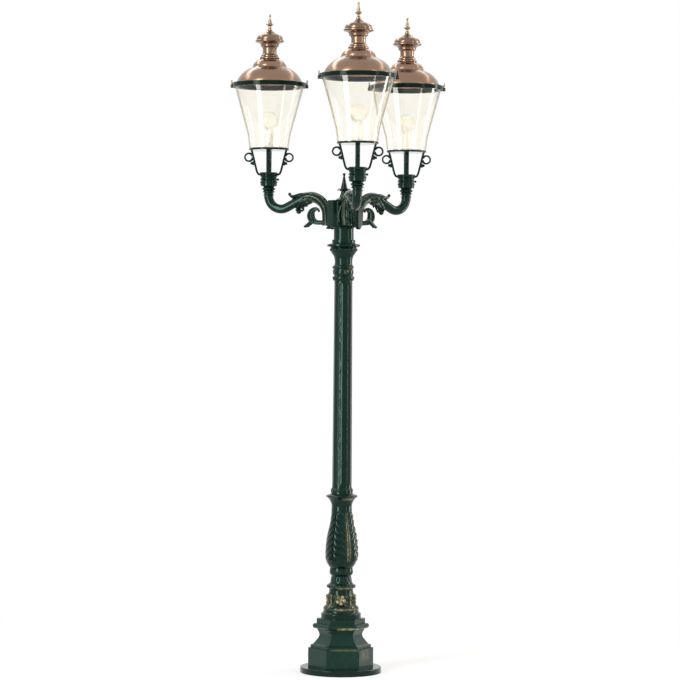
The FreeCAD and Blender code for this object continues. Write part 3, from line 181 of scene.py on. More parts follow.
def background_rays(tree):
    """1 for the rays that show the white background: to the eye, through glass and in reflections."""
    rays = tree.nodes.new("ShaderNodeLightPath").outputs
    eye, glass, mirror = (Wire(tree, rays[f"Is {kind} Ray"]) for kind in ("Camera", "Transmission", "Glossy"))
    return eye.at_least(glass).at_least(mirror)


def make_world():
    """White where the background shows, and soft light all round."""
    world = bpy.data.worlds.new("studio_room")
    tree = emptied_tree(world)
    strength = mixed(background_rays(tree), ROOM_LIGHT, 1.0, "FLOAT")
    shade = wire(tree, "ShaderNodeBackground", {"Color": (1, 1, 1, 1), "Strength": strength})
    feed(shade, tree.nodes.new("ShaderNodeOutputWorld").inputs["Surface"])
    bpy.context.scene.world = world


def make_floor():
    """A pale floor that keeps the lamp's shadow near it and runs out into white further away."""
    corners = [(FLOOR_RADIUS * cos(radians(a)), FLOOR_RADIUS * sin(radians(a)), FLOOR_LEVEL) for a in range(0, 360, 5)]
    sheet = bpy.data.meshes.new("pale_floor")
    sheet.from_pydata(corners, [], [list(range(len(corners)))])
    skin = bpy.data.materials.new("pale_floor")
    tree = emptied_tree(skin)
    seen = background_rays(tree)
    matt = wire(tree, "ShaderNodeBsdfDiffuse", {"Color": (0.42, 0.42, 0.42, 1)})
    near = wire(tree, "ShaderNodeAddShader", {0: matt, 1: wire(tree, "ShaderNodeEmission", {"Strength": seen * 0.58})})
    reach = wire(tree, "ShaderNodeVectorMath", {0: object_place(tree)}, "Value", operation="LENGTH")
    white = wire(tree, "ShaderNodeEmission", {"Strength": 1.0})
    faded = wire(tree, "ShaderNodeMixShader", {0: reach.ranged(0.7, 3.0) * seen, 1: near, 2: white})
    feed(faded, tree.nodes.new("ShaderNodeOutputMaterial").inputs["Surface"])
    sheet.materials.append(skin)
    show("pale_floor", sheet)


# ======== finishes
SKIN_OUTPUTS = (("Colour", "Color"), ("Roughness", "Float"), ("Height", "Float"))


def paint_skin_group():
    """Brushed enamel on a casting: slow drift of colour, mottling, a warm painted highlight on ridges, orange peel and
    pale dust on what faces up.
    """
    tree, given, gives = new_group("paint_skin", "ShaderNodeTree", [
        ("Colour", "Color"), ("Worn Colour", "Color"), ("Ridge Colour", "Color"), ("Dust", "Float"), ("Rub", "Float")],
        SKIN_OUTPUTS)
    place = object_place(tree)
    drift = noise(place, 4, 3).ranged(0.3, 0.7)
    mottle = noise(place, 40, 3, 0.55).ranged(0.35, 0.7, 0.2, 0.8)
    colour = mixed(drift * mottle, given["Colour"], given["Worn Colour"])
    # The ridge attribute and the extra mask input paint a warm highlight in the ridge colour.
    ridge = wire(tree, "ShaderNodeAttribute", output="Fac", attribute_name="ridge")
    ridge_highlight = ridge.at_least(given["Rub"]) * noise(place, 45).ranged(0.35, 0.65, 0.3, 0.9)
    colour = mixed(ridge_highlight, colour, given["Ridge Colour"])
    upward = parts(wire(tree, "ShaderNodeNewGeometry", output="Normal"))[2].ranged(0.55, 1.0)
    settled = upward * noise(place, 24, 4, 0.65).ranged(0.3, 0.75, 0.2, 1) * given["Dust"]
    feed(mixed(settled, colour, (0.3, 0.33, 0.27, 1)), gives["Colour"])
    feed(noise(place, 26).ranged(0.3, 0.7, 0.09, 0.15) + settled * 0.9, gives["Roughness"])
    feed(noise(place, 300, 1) * 0.25 + noise(place, 38) * 2.2, gives["Height"])
    return tree


def metal_skin_group():
    """Bare metal: tarnish in patches, fine lines turned about the upright axis at Centre, and a soft unevenness."""
    tree, given, gives = new_group("metal_skin", "ShaderNodeTree", [
        ("Colour", "Color"), ("Tarnish", "Color"), ("Centre", "Vector"), ("Tarnish Amount", "Float"),
        ("Gloss", "Float"), ("Line Depth", "Float")], SKIN_OUTPUTS)
    place = object_place(tree)
    patches = noise(place, 11, 4, 0.6).ranged(0.35, 0.72)
    dull = (patches + noise(place, 130, 3, 0.6).ranged(0.45, 0.75, 0, 0.5)) * given["Tarnish Amount"]
    x, y, z = parts(wire(tree, "ShaderNodeVectorMath", {0: place, 1: given["Centre"]}, operation="SUBTRACT"))
    lines_per_metre = 350.0
    reach = (x * x + y * y) ** 0.5
    lines = noise(from_parts(tree, reach * lines_per_metre, z * lines_per_metre), 1, 3, 0.7)
    feed(mixed(dull, given["Colour"], given["Tarnish"]), gives["Colour"])
    feed(given["Gloss"] + patches.ranged(0, 1, -0.02, 0.05) + lines * 0.05, gives["Roughness"])
    feed(lines * given["Line Depth"] + noise(place, 60), gives["Height"])
    return tree


def new_finish(name, **constants):
    """A material with a Principled BSDF whose plain numbers and colours are set on its own sockets."""
    skin = bpy.data.materials.new(name)
    skin.use_nodes = True
    sockets = skin.node_tree.nodes["Principled BSDF"].inputs
    for label, value in constants.items():
        sockets[label.replace("_", " ")].default_value = value
    return skin, skin.node_tree, sockets


def give_look(sockets, colour, roughness, height, distance):
    """Feed a shader's colour and roughness, and bump its surface by that distance."""
    bump = wire(height.tree, "ShaderNodeBump", {"Strength": 1.0, "Distance": distance, "Height": height})
    for label, value in (("Base Color", colour), ("Roughness", roughness), ("Normal", bump)):
        feed(value, sockets[label])


def skinned(name, group, values, bump, **constants):
    """A finish that a shared group gives its look, placed with its own values."""
    skin, tree, sockets = new_finish(name, **constants)
    made = tree.nodes.new("ShaderNodeGroup")
    made.node_tree = group
    for label, value in values.items():
        made.inputs[label].default_value = value
    give_look(sockets, *(Wire(tree, made.outputs[label]) for label, _ in SKIN_OUTPUTS), bump)
    return skin


def enamel(name, colour, highlight_paint, dust=0.05, bump=0.00022, level=0.27, tint=(0.6, 1.0, 0.84, 1)):
    values = {"Colour": colour, "Worn Colour": highlight_paint, "Ridge Colour": WARM_HIGHLIGHT_COLOUR, "Dust": dust}
    return skinned(name, paint_skin, values, bump, IOR=1.5, Specular_IOR_Level=level, Specular_Tint=tint)


def bare_metal(name, colour, tarnish, amount, gloss, lines, bump, centre=(0, 0, 0), **constants):
    values = {"Colour": colour, "Tarnish": tarnish, "Centre": centre, "Tarnish Amount": amount, "Gloss": gloss,
              "Line Depth": lines}
    return skinned(name, metal_skin, values, bump, Metallic=1.0, **constants)


def band(value, low, high, soft):
    """1 between low and high, fading over soft on both sides."""
    return value.ranged(low - soft, low) * value.ranged(high, high + soft, 1, 0)


def paint_plinth_highlights(skin):
    """Painted warm highlight along the ring and the shoulder of the plinth's front, and a fainter painted highlight
    patch on its right side.
    """
    x, y, z = parts(object_place(skin.node_tree))
    ring = band(z, 0.241, 0.249, 0.004) * band(x, -0.02, 0.055, 0.03)
    shoulder = band(z, 0.132, 0.137, 0.003) * band(x, -0.06, 0.06, 0.03)
    patch = band(z, 0.085, 0.12, 0.02) * band(x, 0.1, 0.135, 0.02)
    # Only the side that faces the front gets the painted highlight.
    front = y.ranged(-0.02, -0.1)
    placed_group = [n for n in skin.node_tree.nodes if n.type == "GROUP"][0]
    feed((ring * 0.8 + shoulder * 0.22 + patch * 0.2) * front, placed_group.inputs["Rub"])


def rim(tree, low, high):
    """Rises where the surface turns away from the eye."""
    return wire(tree, "ShaderNodeLayerWeight", output="Facing").ranged(low, high)


def clear_glass_finish():
    skin, tree, sockets = new_finish("lantern_glass", IOR=1.42, Transmission_Weight=1.0)
    place = object_place(tree)
    haze = noise(place, 14, 4, 0.6).ranged(0.4, 0.8)
    tint = mixed(haze, (0.995, 0.98, 0.93, 1), (0.975, 0.95, 0.88, 1))
    tint = mixed(rim(tree, 0.6, 0.74), tint, (0.4, 0.35, 0.22, 1))
    give_look(sockets, tint, haze.ranged(0, 1, 0.0, 0.03), noise(place, 16), 0.0004)
    return skin


def bulb_finish():
    # The faint emission is painted glow that brightens the opal glass.
    skin, tree, sockets = new_finish("bulb_opal", IOR=1.12, Transmission_Weight=0.85,
                                     Emission_Color=(1.0, 0.93, 0.74, 1), Emission_Strength=0.045)
    place = object_place(tree)
    tint = mixed(noise(place, 22, 3).ranged(0.3, 0.7), (1.0, 1.0, 0.96, 1), (1.0, 0.99, 0.92, 1))
    tint = mixed(rim(tree, 0.45, 0.95), tint, (1.0, 0.94, 0.74, 1))
    give_look(sockets, tint, noise(place, 300).ranged(0.3, 0.7, 0.25, 0.36), noise(place, 600, 1), 0.00006)
    return skin


def porcelain_finish():
    skin, tree, sockets = new_finish("glazed_white", IOR=1.5, Coat_Weight=0.5, Coat_Roughness=0.06)
    place = object_place(tree)
    age = noise(place, 35, 4, 0.6).ranged(0.4, 0.75)
    tint = mixed(age, (0.97, 0.965, 0.94, 1), (0.9, 0.89, 0.84, 1))
    give_look(sockets, tint, age.ranged(0, 1, 0.18, 0.35), noise(place, 160), 0.0002)
    return skin


make_camera()
strip_light("tall_window", -42, 6.0, 4.2, 1.8, 9.2, 480, (1.0, 0.995, 0.98))
strip_light("low_sun", 55, 6.0, 3.8, 0.6, 8.4, 80, (1.0, 0.9, 0.72))
strip_light("side_glow", 104, 6.0, 2.8, 1.1, 6.4, 250, (1.0, 0.95, 0.84))
strip_light("high_left", -131, 4.6, 7.3, 7.2, 0.8, 80, (1.0, 0.99, 0.96), 41)
strip_light("high_right", 131, 4.6, 7.3, 7.2, 0.5, 34, (1.0, 0.96, 0.88), 41)
make_world()
make_floor()
bpy.context.scene.view_settings.view_transform = "Standard"

paint_skin = paint_skin_group()
metal_skin = metal_skin_group()
# The warm colour of the highlight painted on ridges, rims and the plinth's front.
WARM_HIGHLIGHT_COLOUR = (0.6, 0.5, 0.28, 1)
GREEN = enamel("green_enamel", (0.001, 0.008, 0.0055, 1), (0.003, 0.016, 0.0115, 1))
DARK_GREEN = enamel("dark_green_enamel", (0.002, 0.008, 0.006, 1), (0.004, 0.014, 0.011, 1), 0.04, level=0.14,
                    tint=(0.6, 1.0, 0.85, 1))
# A lighter copy of the post's green enamel: painted light on the plinth.
PLINTH_GREEN = enamel("plinth_enamel", (0.003, 0.019, 0.013, 1), (0.011, 0.041, 0.03, 1))
paint_plinth_highlights(PLINTH_GREEN)
SHAFT_GREEN = enamel("shaft_enamel", (0.0006, 0.0065, 0.0045, 1), (0.0015, 0.012, 0.0085, 1), bump=0.0003)
COPPER, BRIGHT_COPPER, BRASS = {}, {}, {}
for side, centre in LANTERN_PLACE.items():
    COPPER[side] = bare_metal(
        f"satin_copper_{side}", (0.265, 0.16, 0.105, 1), (0.2, 0.115, 0.073, 1), 0.25, 0.22, 1.0, 0.00012, centre,
        Coat_Weight=0.45, Coat_Roughness=0.16)
    BRIGHT_COPPER[side] = bare_metal(
        f"bright_copper_{side}", (0.21, 0.13, 0.085, 1), (0.11, 0.064, 0.04, 1), 0.4, 0.22, 1.0, 0.00022, centre,
        Coat_Weight=0.5, Coat_Roughness=0.12)
    BRASS[side] = bare_metal(
        f"pale_brass_{side}", (0.36, 0.28, 0.19, 1), (0.2, 0.15, 0.09, 1), 0.4, 0.24, 0.6, 0.00005, centre)
STEEL = bare_metal("dull_steel", (0.3, 0.31, 0.31, 1), (0.12, 0.12, 0.11, 1), 0.6, 0.4, 0.0, 0.0001)
GLASS = clear_glass_finish()
BULB = bulb_finish()
WHITE = porcelain_finish()


def finish_node(name, skin):
    """Give a CAD node that stays its finish."""
    materials = NODES[name].data.materials
    materials.clear()
    materials.append(skin)


for name in NODES:
    finish_node(name, GREEN)
for side in SIDES:
    for skin, names in ((DARK_GREEN, ("arm_bolts", "collar_screws", "ear_nuts", "latch")), (WHITE, ("lamp_holder",)),
                        (BULB, ("bulb",)), (GLASS, ("glass",)), (STEEL, ("hood_pins",))):
        for name in names:
            finish_node(f"{side}_{name}", skin)
finish_node("plinth", PLINTH_GREEN)
finish_node("plinth_screws", STEEL)
finish_node("shaft_screws", STEEL)


# ======== making meshes
def shell_faces(rows, columns, wrapped):
    """Quads of a grid whose columns close on themselves, and whose rows do too if it is wrapped."""
    row = np.arange(rows if wrapped else rows - 1)[:, None]
    column = np.arange(columns)[None, :]
    after, above = (column + 1) % columns, (row + 1) % rows
    quads = [row * columns + column, row * columns + after, above * columns + after, above * columns + column]
    return np.stack(quads, -1).reshape(-1, 4).tolist()


def closed_shell(grid, ridge=None, wrapped=False):
    """Points, faces and painted-highlight values of a grid of rings, shut by a pole at both ends and facing outwards.
    """
    rows, columns = grid.shape[:2]
    ridge = np.zeros((rows, columns)) if ridge is None else ridge
    points = grid.reshape(-1, 3)
    faces = shell_faces(rows, columns, wrapped)
    highlight_paint = ridge.reshape(-1)
    if not wrapped:
        poles = np.stack([grid[0].mean(0), grid[-1].mean(0)])
        low, high = len(points), len(points) + 1
        top = (rows - 1) * columns
        faces += [[low, (c + 1) % columns, c] for c in range(columns)]
        faces += [[high, top + c, top + (c + 1) % columns] for c in range(columns)]
        points = np.vstack([points, poles])
        highlight_paint = np.append(highlight_paint, [0, 0])
    corners = [(f[0], f[k], f[k + 1]) for f in faces for k in range(1, len(f) - 1)]
    a, b, c = (points[[t[k] for t in corners]] for k in range(3))
    if np.einsum("ij,ij->i", a, np.cross(b, c)).sum() < 0:
        faces = [f[::-1] for f in faces]
    return points, faces, highlight_paint


def stacked(shells):
    """Points in metres, faces and painted-highlight values of several shells in millimetres, as those of one mesh."""
    starts = np.cumsum([0] + [len(shell[0]) for shell in shells]).tolist()
    faces = [[v + start for v in face] for shell, start in zip(shells, starts) for face in shell[1]]
    return np.vstack([shell[0] for shell in shells]) / 1000, faces, np.concatenate([shell[2] for shell in shells])


def smooth_shaded(mesh, crease):
    """Smooth shading that keeps edges sharper than crease, in degrees."""
    mesh.polygons.foreach_set("use_smooth", [True] * len(mesh.polygons))
    mesh.set_sharp_from_angle(angle=radians(crease))


def new_piece(name, shells, skin, slot, body, node, crease=38):
    """One mesh object of closed shells, in place of a CAD node."""
    points, faces, highlight_paint = stacked(shells)
    mesh = bpy.data.meshes.new(name)
    mesh.from_pydata(points.tolist(), [], faces)
    # The ridge attribute marks where a warm highlight is painted into the enamel's colour.
    mesh.attributes.new("ridge", "FLOAT", "POINT").data.foreach_set("value", highlight_paint.astype(np.float32))
    smooth_shaded(mesh, crease)
    mesh.materials.append(skin)
    settle(bpy.data.objects.new(name, mesh), slot, body, node)


def casting(name, shells, node, crease=38):
    new_piece(name, shells, GREEN, "green_paint", "post", node, crease)


def settle(piece, slot, body, *replaced):
    bpy.context.scene.collection.objects.link(piece)
    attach(piece, body)
    if replaced:
        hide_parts(*replaced)


def outline(corners, step=1.5, soften=2):
    """Radius and height along a turned shape. A third number bulges the stretch that follows outwards."""
    line = []
    for here, there in zip(corners, corners[1:]):
        start, end = np.array(here[:2], float), np.array(there[:2], float)
        chord = end - start
        length = max(hypot(*chord), 1e-6)
        bulge = here[2] if len(here) > 2 else 0
        aside = np.array([chord[1], -chord[0]]) / length
        t = np.linspace(0, 1, max(2, int(length / step)), endpoint=False)[:, None]
        if bulge:
            spread = (length / 2) ** 2 / (2 * abs(bulge)) + abs(bulge) / 2
            rise = np.sqrt(np.maximum(spread ** 2 - ((t - 0.5) * length) ** 2, 0)) - (spread - abs(bulge))
            line.append(start + chord * t + aside * rise * np.sign(bulge))
        else:
            line.append(start + chord * t)
    line = np.vstack(line + [np.array([corners[-1][:2]], float)])
    for _ in range(soften):
        line[1:-1] = line[1:-1] * 0.5 + (line[:-2] + line[2:]) * 0.25
    return line


def turned_shell(line, columns, relief=None, centre=(0, 0), foot=0, wrapped=False):
    """A turned shape about the upright line through centre. relief gives rise and painted highlight for angle and
    height.
    """
    angle = np.linspace(0, 2 * pi, columns, endpoint=False)
    angle, height = np.meshgrid(angle, line[:, 1])
    radius = np.repeat(line[:, :1], columns, 1)
    ridge = np.zeros_like(radius)
    if relief:
        raised, ridge = relief(angle, height + foot)
        radius = radius + raised
    grid = np.stack([centre[0] + radius * np.cos(angle), centre[1] + radius * np.sin(angle), height + foot], -1)
    return closed_shell(grid, ridge, wrapped)


def smooth_step(value, low, high):
    t = np.clip((value - low) / (high - low), 0, 1)
    return t * t * (3 - 2 * t)


def hump(value, middle, width, power=2):
    """1 at middle, falling away evenly on both sides."""
    return np.exp(-((value - middle) / width) ** power)


def plateau(value, low, risen, falling, high):
    """1 from risen to falling, and 0 below low and above high."""
    return smooth_step(value, low, risen) * (1 - smooth_step(value, falling, high))


def from_nearest(angle, first, count):
    """Angle from the nearest of count places that start at first, in radians."""
    pitch = 2 * pi / count
    return (angle - first + pitch / 2) % pitch - pitch / 2


def spline(points, count):
    """A smooth line through the given rows, each with any number of values."""
    rows = np.array(points, float)
    span = np.concatenate([[0], np.cumsum(np.sqrt(np.linalg.norm(np.diff(rows[:, :2], axis=0), axis=1)) + 1e-6)])
    t = np.linspace(0, span[-1], count)
    slope = np.gradient(rows, span, axis=0, edge_order=1)
    k = np.clip(np.searchsorted(span, t, "right") - 1, 0, len(span) - 2)
    width = (span[k + 1] - span[k])[:, None]
    u = ((t - span[k])[:, None]) / width
    return ((2 * u ** 3 - 3 * u ** 2 + 1) * rows[k] + (u ** 3 - 2 * u ** 2 + u) * width * slope[k]
            + (3 * u ** 2 - 2 * u ** 3) * rows[k + 1] + (u ** 3 - u ** 2) * width * slope[k + 1])


def around_line(line, rise, aside):
    """A grid about a line in the arm's plane: rise is square to the line in that plane, and aside across it."""
    along = np.gradient(line, axis=0)
    along /= np.linalg.norm(along, axis=1)[:, None]
    return np.stack([line[:, :1] - along[:, 1:] * rise, aside, line[:, 1:] + along[:, :1] * rise], -1)


def swept_shell(points, count=40, around=20, relief=None, aside=0.0, square=1.0):
    """A leaf, horn or bar in the arm's plane: rows of reach, height, thickness, width and, if given, place aside."""
    rows = spline(points, count)
    middle, thick, wide = rows[:, :2], np.maximum(rows[:, 2], 0.4), np.maximum(rows[:, 3], 0.4)
    side = rows[:, 4] if rows.shape[1] > 4 else np.zeros(count)
    turn = np.linspace(0, 2 * pi, around, endpoint=False)
    share = np.linspace(0, 1, count)[:, None]
    raised = 1 if relief is None else relief(share, turn[None, :])
    flank, face = (np.sign(v) * np.abs(v) ** square for v in (np.sin(turn), np.cos(turn)))
    in_plane = thick[:, None] / 2 * face[None, :] * raised
    lateral = wide[:, None] / 2 * flank[None, :] * raised
    grid = around_line(middle, in_plane, lateral + side[:, None] + aside)
    # Painted highlight where the relief rises above the plain section.
    highlight_paint = np.broadcast_to((raised - 1) * 6, in_plane.shape).clip(0, 1) if relief else np.zeros_like(in_plane)
    return closed_shell(grid, highlight_paint)


def ball_shell(centre, radius, around=20):
    tilt = np.linspace(-pi / 2, pi / 2, around // 2 + 1)[1:-1]
    line = np.stack([radius * np.cos(tilt), radius * np.sin(tilt)], -1)
    return turned_shell(line, around, centre=centre[:2], foot=centre[2])


def block_shell(low, high, bevel):
    """An upright block with rounded edges, as a ring grid about its own middle."""
    size, middle = (np.array(high) - low) / 2, (np.array(high) + low) / 2
    around, squareness, widest = 64, 8, 1.19
    turn = np.linspace(0, 2 * pi, around, endpoint=False)
    corner = (np.abs(np.cos(turn)) ** squareness + np.abs(np.sin(turn)) ** squareness) ** (-1 / squareness)
    reach = np.minimum(corner, widest)
    rows = []
    for level, inset, drop in ((-1, 1, 0), (-1, 0.3, 0.3), (-1, 0, 1), (1, 0, 1), (1, 0.3, 0.3), (1, 1, 0)):
        rows.append(np.stack([middle[0] + (size[0] - inset * bevel) * np.clip(reach * np.cos(turn), -1, 1),
                              middle[1] + (size[1] - inset * bevel) * np.clip(reach * np.sin(turn), -1, 1),
                              np.full(around, middle[2] + level * (size[2] - drop * bevel))], -1))
    return closed_shell(np.array(rows))


def placed(shell, turn, across=0.0, over=0.0, up=0.0):
    """The shell turned about the post's own line and moved."""
    points = shell[0].copy()
    x, y = points[:, 0].copy(), points[:, 1].copy()
    points[:, 0] = x * cos(turn) - y * sin(turn) + across
    points[:, 1] = x * sin(turn) + y * cos(turn) + over
    points[:, 2] += up
    return points, shell[1], shell[2]


# ======== castings of the post with their relief
PEDESTAL_FOOT, BALUSTER_FOOT, CAPITAL_FOOT = 293, 567, 2131
LEAF_SIDE = radians(20 - 90)
PANEL_SIDE = radians(-10 - 90)


def baluster_leaves(angle, height):
    """Three acanthus leaves: a double rib, and long lobes that climb steeply outwards from it."""
    turn = from_nearest(angle, LEAF_SIDE, 3)
    leaf_foot, leaf_tip, rim = 606, 876, 944
    along = (height - leaf_foot) / (leaf_tip - leaf_foot)
    reach = np.abs(turn) / radians(60)
    inside = plateau(along, -0.02, 0.03, 0.96, 1.01)
    lobe = (along * 7.6 - reach * 1.9 + 0.3) % 1.0
    finger = 1 - (1 - np.sin(pi * lobe)) ** 2.5
    edge = (0.82 + 0.18 * finger) * np.minimum(1, 0.3 + np.sqrt(np.clip((1.03 - along) * 4, 0, 1)))
    covered = (1 - smooth_step(reach, edge - 0.06, edge)) * inside
    leaf = covered * (1.2 + 7.5 * np.clip(reach, 0, 1) ** 1.2) * (0.08 + 0.92 * finger * smooth_step(reach, 0.1, 0.24))
    rib = hump(reach, 0.075, 0.034) * 3.4 * inside * (1 - 0.45 * along)
    raised = leaf + rib - 3.0 * inside
    # The second result is painted warm highlight: on the double rib, on the lobe tips of the front leaf only, and in a
    # short band on the rim above the front leaf.
    whole = from_nearest(angle, LEAF_SIDE, 1)
    front = (whole > 0) & (whole < radians(60))
    rim_highlight = hump(height, rim, 6) * hump(whole, 0, radians(24), 4) * 0.8
    lobe_highlight = covered * finger ** 4 * smooth_step(reach, 0.5, 0.85) * front * 0.4
    return raised, (rib / 4.5 + lobe_highlight + rim_highlight).clip(0, 1)


def petals(angle, first, count, up, softness=0.5):
    """Rounded petals side by side: 1 on each middle line, 0 in the grooves between."""
    turn = from_nearest(angle, first, count) / (pi / count)
    return np.maximum(1 - turn ** 2, 0) ** softness * up


def curl(across, up, size, turns=1.3, hand=1, arm=0.13):
    """Height of a flat spiral with its eye at the origin."""
    reach = np.hypot(across, up) / size
    turn = np.arctan2(up, across * hand) / (2 * pi)
    winding = (reach * turns - turn) % 1.0
    return hump(winding, 0.5, 0.2) * (1 - smooth_step(reach, 0.85, 1.0)) + hump(reach, 0, arm)


def pedestal_relief(angle, height):
    """Four rosettes with scrolled sprigs between brackets on the drum, petals on the torus and tongues on the neck."""
    drum_radius, drum_middle, torus, neck_beads = 80, 397, 468, 546
    across, up = from_nearest(angle, PANEL_SIDE, 4) * drum_radius, height - drum_middle
    reach, spin = np.hypot(across, up), np.arctan2(up, across)
    petal = np.abs(np.cos(spin * 2.5 + 0.4))
    flower = (1 - smooth_step(reach, 20 + 5 * petal, 25 + 5 * petal)) * (3.0 + 5.5 * petal * smooth_step(reach, 4, 14))
    flower = flower + 6.0 * hump(reach, 0, 7) - 2.5 * hump(reach, 12, 3)
    scrolls = np.maximum.reduce([curl(across - 34, up + 16, 17, 1.4, 1), curl(across + 34, up + 16, 17, 1.4, -1),
                                 curl(across - 33, up - 16, 14, 1.3, -1), curl(across + 33, up - 16, 14, 1.3, 1)])
    raised = np.maximum(flower, 4.0 * scrolls * plateau(height, 352, 358, 434, 441))
    bracket = from_nearest(angle, PANEL_SIDE + pi / 4, 4) * drum_radius
    body = (1 - smooth_step(np.abs(bracket), 5.5, 8)) * plateau(height, 350, 355, 434, 441)
    swell = 3.2 + 2.6 * hump(height, 424, 11) + 5.5 * hump(height, 364, 10)
    groove = 1 - 0.4 * hump(bracket, 0, 2.0) * plateau(height, 374, 380, 408, 414)
    raised = np.maximum(raised, body * swell * groove)
    raised += hump(height, torus, 9, 4) * (petals(angle, PANEL_SIDE, 18, 3.6) - 1.8)
    raised += plateau(height, 492, 498, 516, 521) * (petals(angle, PANEL_SIDE, 12, 3.4, 0.7) - 0.6)
    raised += hump(height, neck_beads, 7, 4) * (petals(angle, PANEL_SIDE, 24, 1.8) - 0.9)
    front = hump(from_nearest(angle, radians(12 - 90), 1), 0, radians(38), 4)
    # The second result is painted warm highlight: on the rosettes, scrolls, torus petals and bracket edges, and in
    # bands on the side facing the front.
    highlight_paint = (flower / 6).clip(0, 1) * (0.3 + 0.7 * petal) + scrolls * 0.3
    highlight_paint += hump(height, 461, 4) * petals(angle, PANEL_SIDE, 18, 0.3, 2) + hump(height, 459, 5) * front * 0.7
    highlight_paint += body * (0.12 + 0.7 * hump(np.abs(bracket), 5, 1.6)) * (height < 425)
    return raised, (highlight_paint + hump(height, 346, 5) * (0.12 + 0.7 * front)).clip(0, 1)


def capital_relief(angle, height):
    """Fine tongues on the bell, and three scrolled leaves across the knop and its rings."""
    knop_radius, knop_middle = 56, 2190
    raised = plateau(height, 2262, 2280, 2288, 2291) * (petals(angle, 0, 24, 2.2, 0.6) - 0.6)
    across, up = from_nearest(angle, radians(19 - 90), 3) * knop_radius, height - knop_middle
    patch = (1 - smooth_step(np.abs(across), 20, 25)) * plateau(height, 2160, 2166, 2222, 2230)
    scrolls = np.maximum(curl(across + 10, up + 8, 15, 1.4, 1), curl(across - 10, up - 10, 14, 1.4, -1))
    leaf = hump(across - 0.25 * up, 0, 3.5) * (1 - smooth_step(np.abs(up), 24, 32))
    # The second value is painted warm highlight on the scrolls of the knop.
    return raised + patch * (3.4 * scrolls + 2.0 * leaf), (patch * scrolls * 0.4).clip(0, 1)


def make_post_castings():
    pedestal = outline([(109, 0), (109, 28, -3.75), (95, 44), (98, 55, 3.1), (75, 77), (75, 124, -4), (66, 162, 12),
                        (66, 187, -4.2), (53, 229), (63.5, 243), (63.5, 261), (62, 274)], 1.75)
    baluster = outline([(60, 0, 8), (87.5, 72, 5.2), (68, 223, -2.4), (56, 321, -10), (83, 386), (87, 390), (87, 394),
                        (60, 405)], 1.75)
    capital = outline([(50, 0), (53, 0), (58, 6.5, 2.2), (58, 23.4), (50.7, 29, 4.8), (50.7, 66), (56.7, 70.7),
                       (56.7, 77.2), (49.5, 88, -9), (70, 160, 3.5), (70, 182), (90, 187.5), (90, 198.5), (64, 206),
                       (64, 224)], 1.4)
    for node, line, columns, relief, foot in (
            ("pedestal", pedestal, 300, pedestal_relief, PEDESTAL_FOOT),
            ("baluster", baluster, 330, baluster_leaves, BALUSTER_FOOT),
            ("capital", capital, 288, capital_relief, CAPITAL_FOOT)):
        casting(node + "_casting", [turned_shell(line, columns, relief, foot=foot)], node)


# ======== arms
def tube_line(count=150):
    """The middle line of an arm's tube in its own plane: reach and height in millimetres."""
    crest, bend, big, small = np.array([200, 2490.0]), np.array([370, 2601.0]), 101.0, 75.0
    link = bend - crest
    inset = (big + small) / hypot(*link)
    along = link / hypot(*link)
    radial = along * inset + np.array([-along[1], along[0]]) * sqrt(1 - inset ** 2)
    leave, arrive = crest + radial * big, bend - radial * small
    first = atan2(radial[1], radial[0])
    down = [np.array([99, z]) for z in np.linspace(2433, 2490, 12, endpoint=False)]
    over = [crest + big * np.array([cos(a), sin(a)]) for a in np.linspace(pi, first, 60, endpoint=False)]
    slope = [leave + (arrive - leave) * t for t in np.linspace(0, 1, 24, endpoint=False)]
    last = atan2(-radial[1], -radial[0])
    under = [bend + small * np.array([cos(a), sin(a)]) for a in np.linspace(last, 0, 52)]
    line = np.array(down + over + slope + under)
    span = np.concatenate([[0], np.cumsum(np.hypot(*np.diff(line, axis=0).T))])
    even = np.linspace(0, span[-1], count)
    return np.stack([np.interp(even, span, line[:, 0]), np.interp(even, span, line[:, 1])], -1), even / span[-1]


def arm_tube_shell(around=72):
    """The tube with the long leaf that wraps it from the plate over the crest, with ribs that run into its tip."""
    tube_radius = 25.2
    line, share = tube_line()
    turn = np.linspace(0, 2 * pi, around, endpoint=False)[None, :]
    s = share[:, None]
    lift = np.cos(turn)
    end = 0.60 - 0.10 * np.abs(np.sin(turn)) + 0.025 * np.cos(turn * 6)
    covered = 1 - smooth_step(s, end - 0.012, end)
    ribs = 0.5 + 0.5 * np.cos(turn * 8 + 1.6 * np.sin(turn) * smooth_step(s, 0.1, 0.6))
    veins = np.abs(np.sin((s * 46 - np.abs(((turn + pi) % (2 * pi)) - pi) * 1.8) % pi)) ** 0.6
    ribs_start, veins_start = smooth_step(s, 0.02, 0.10), smooth_step(s, 0.2, 0.32)
    raised = covered * (1.6 + 2.0 * ribs * ribs_start + 1.3 * veins * veins_start * (lift < 0.75))
    raised += 1.2 * hump(s, 0.985, 0.012)
    radius = tube_radius + raised - 0.4 * covered
    # The second value paints a warm highlight on the tops of the leaf's ribs.
    return closed_shell(around_line(line, radius * lift, radius * np.sin(turn)), covered * ribs ** 4 * 0.22)


def leaf_veins(count, depth=0.16):
    """Grooves along a swept leaf, and a notched edge."""
    def relief(share, turn):
        notches = 0.1 * np.abs(np.sin(share * pi * 4)) * np.abs(np.sin(turn)) ** 4
        return 1 - depth * (0.5 + 0.5 * np.cos(turn * count)) - notches
    return relief


def scroll_groove(share, turn):
    """The crescent is hollowed along both flanks, so that its rims stand up."""
    return 1 - 0.62 * hump(np.cos(turn), 0, 0.62) * np.sin(pi * share) ** 0.4


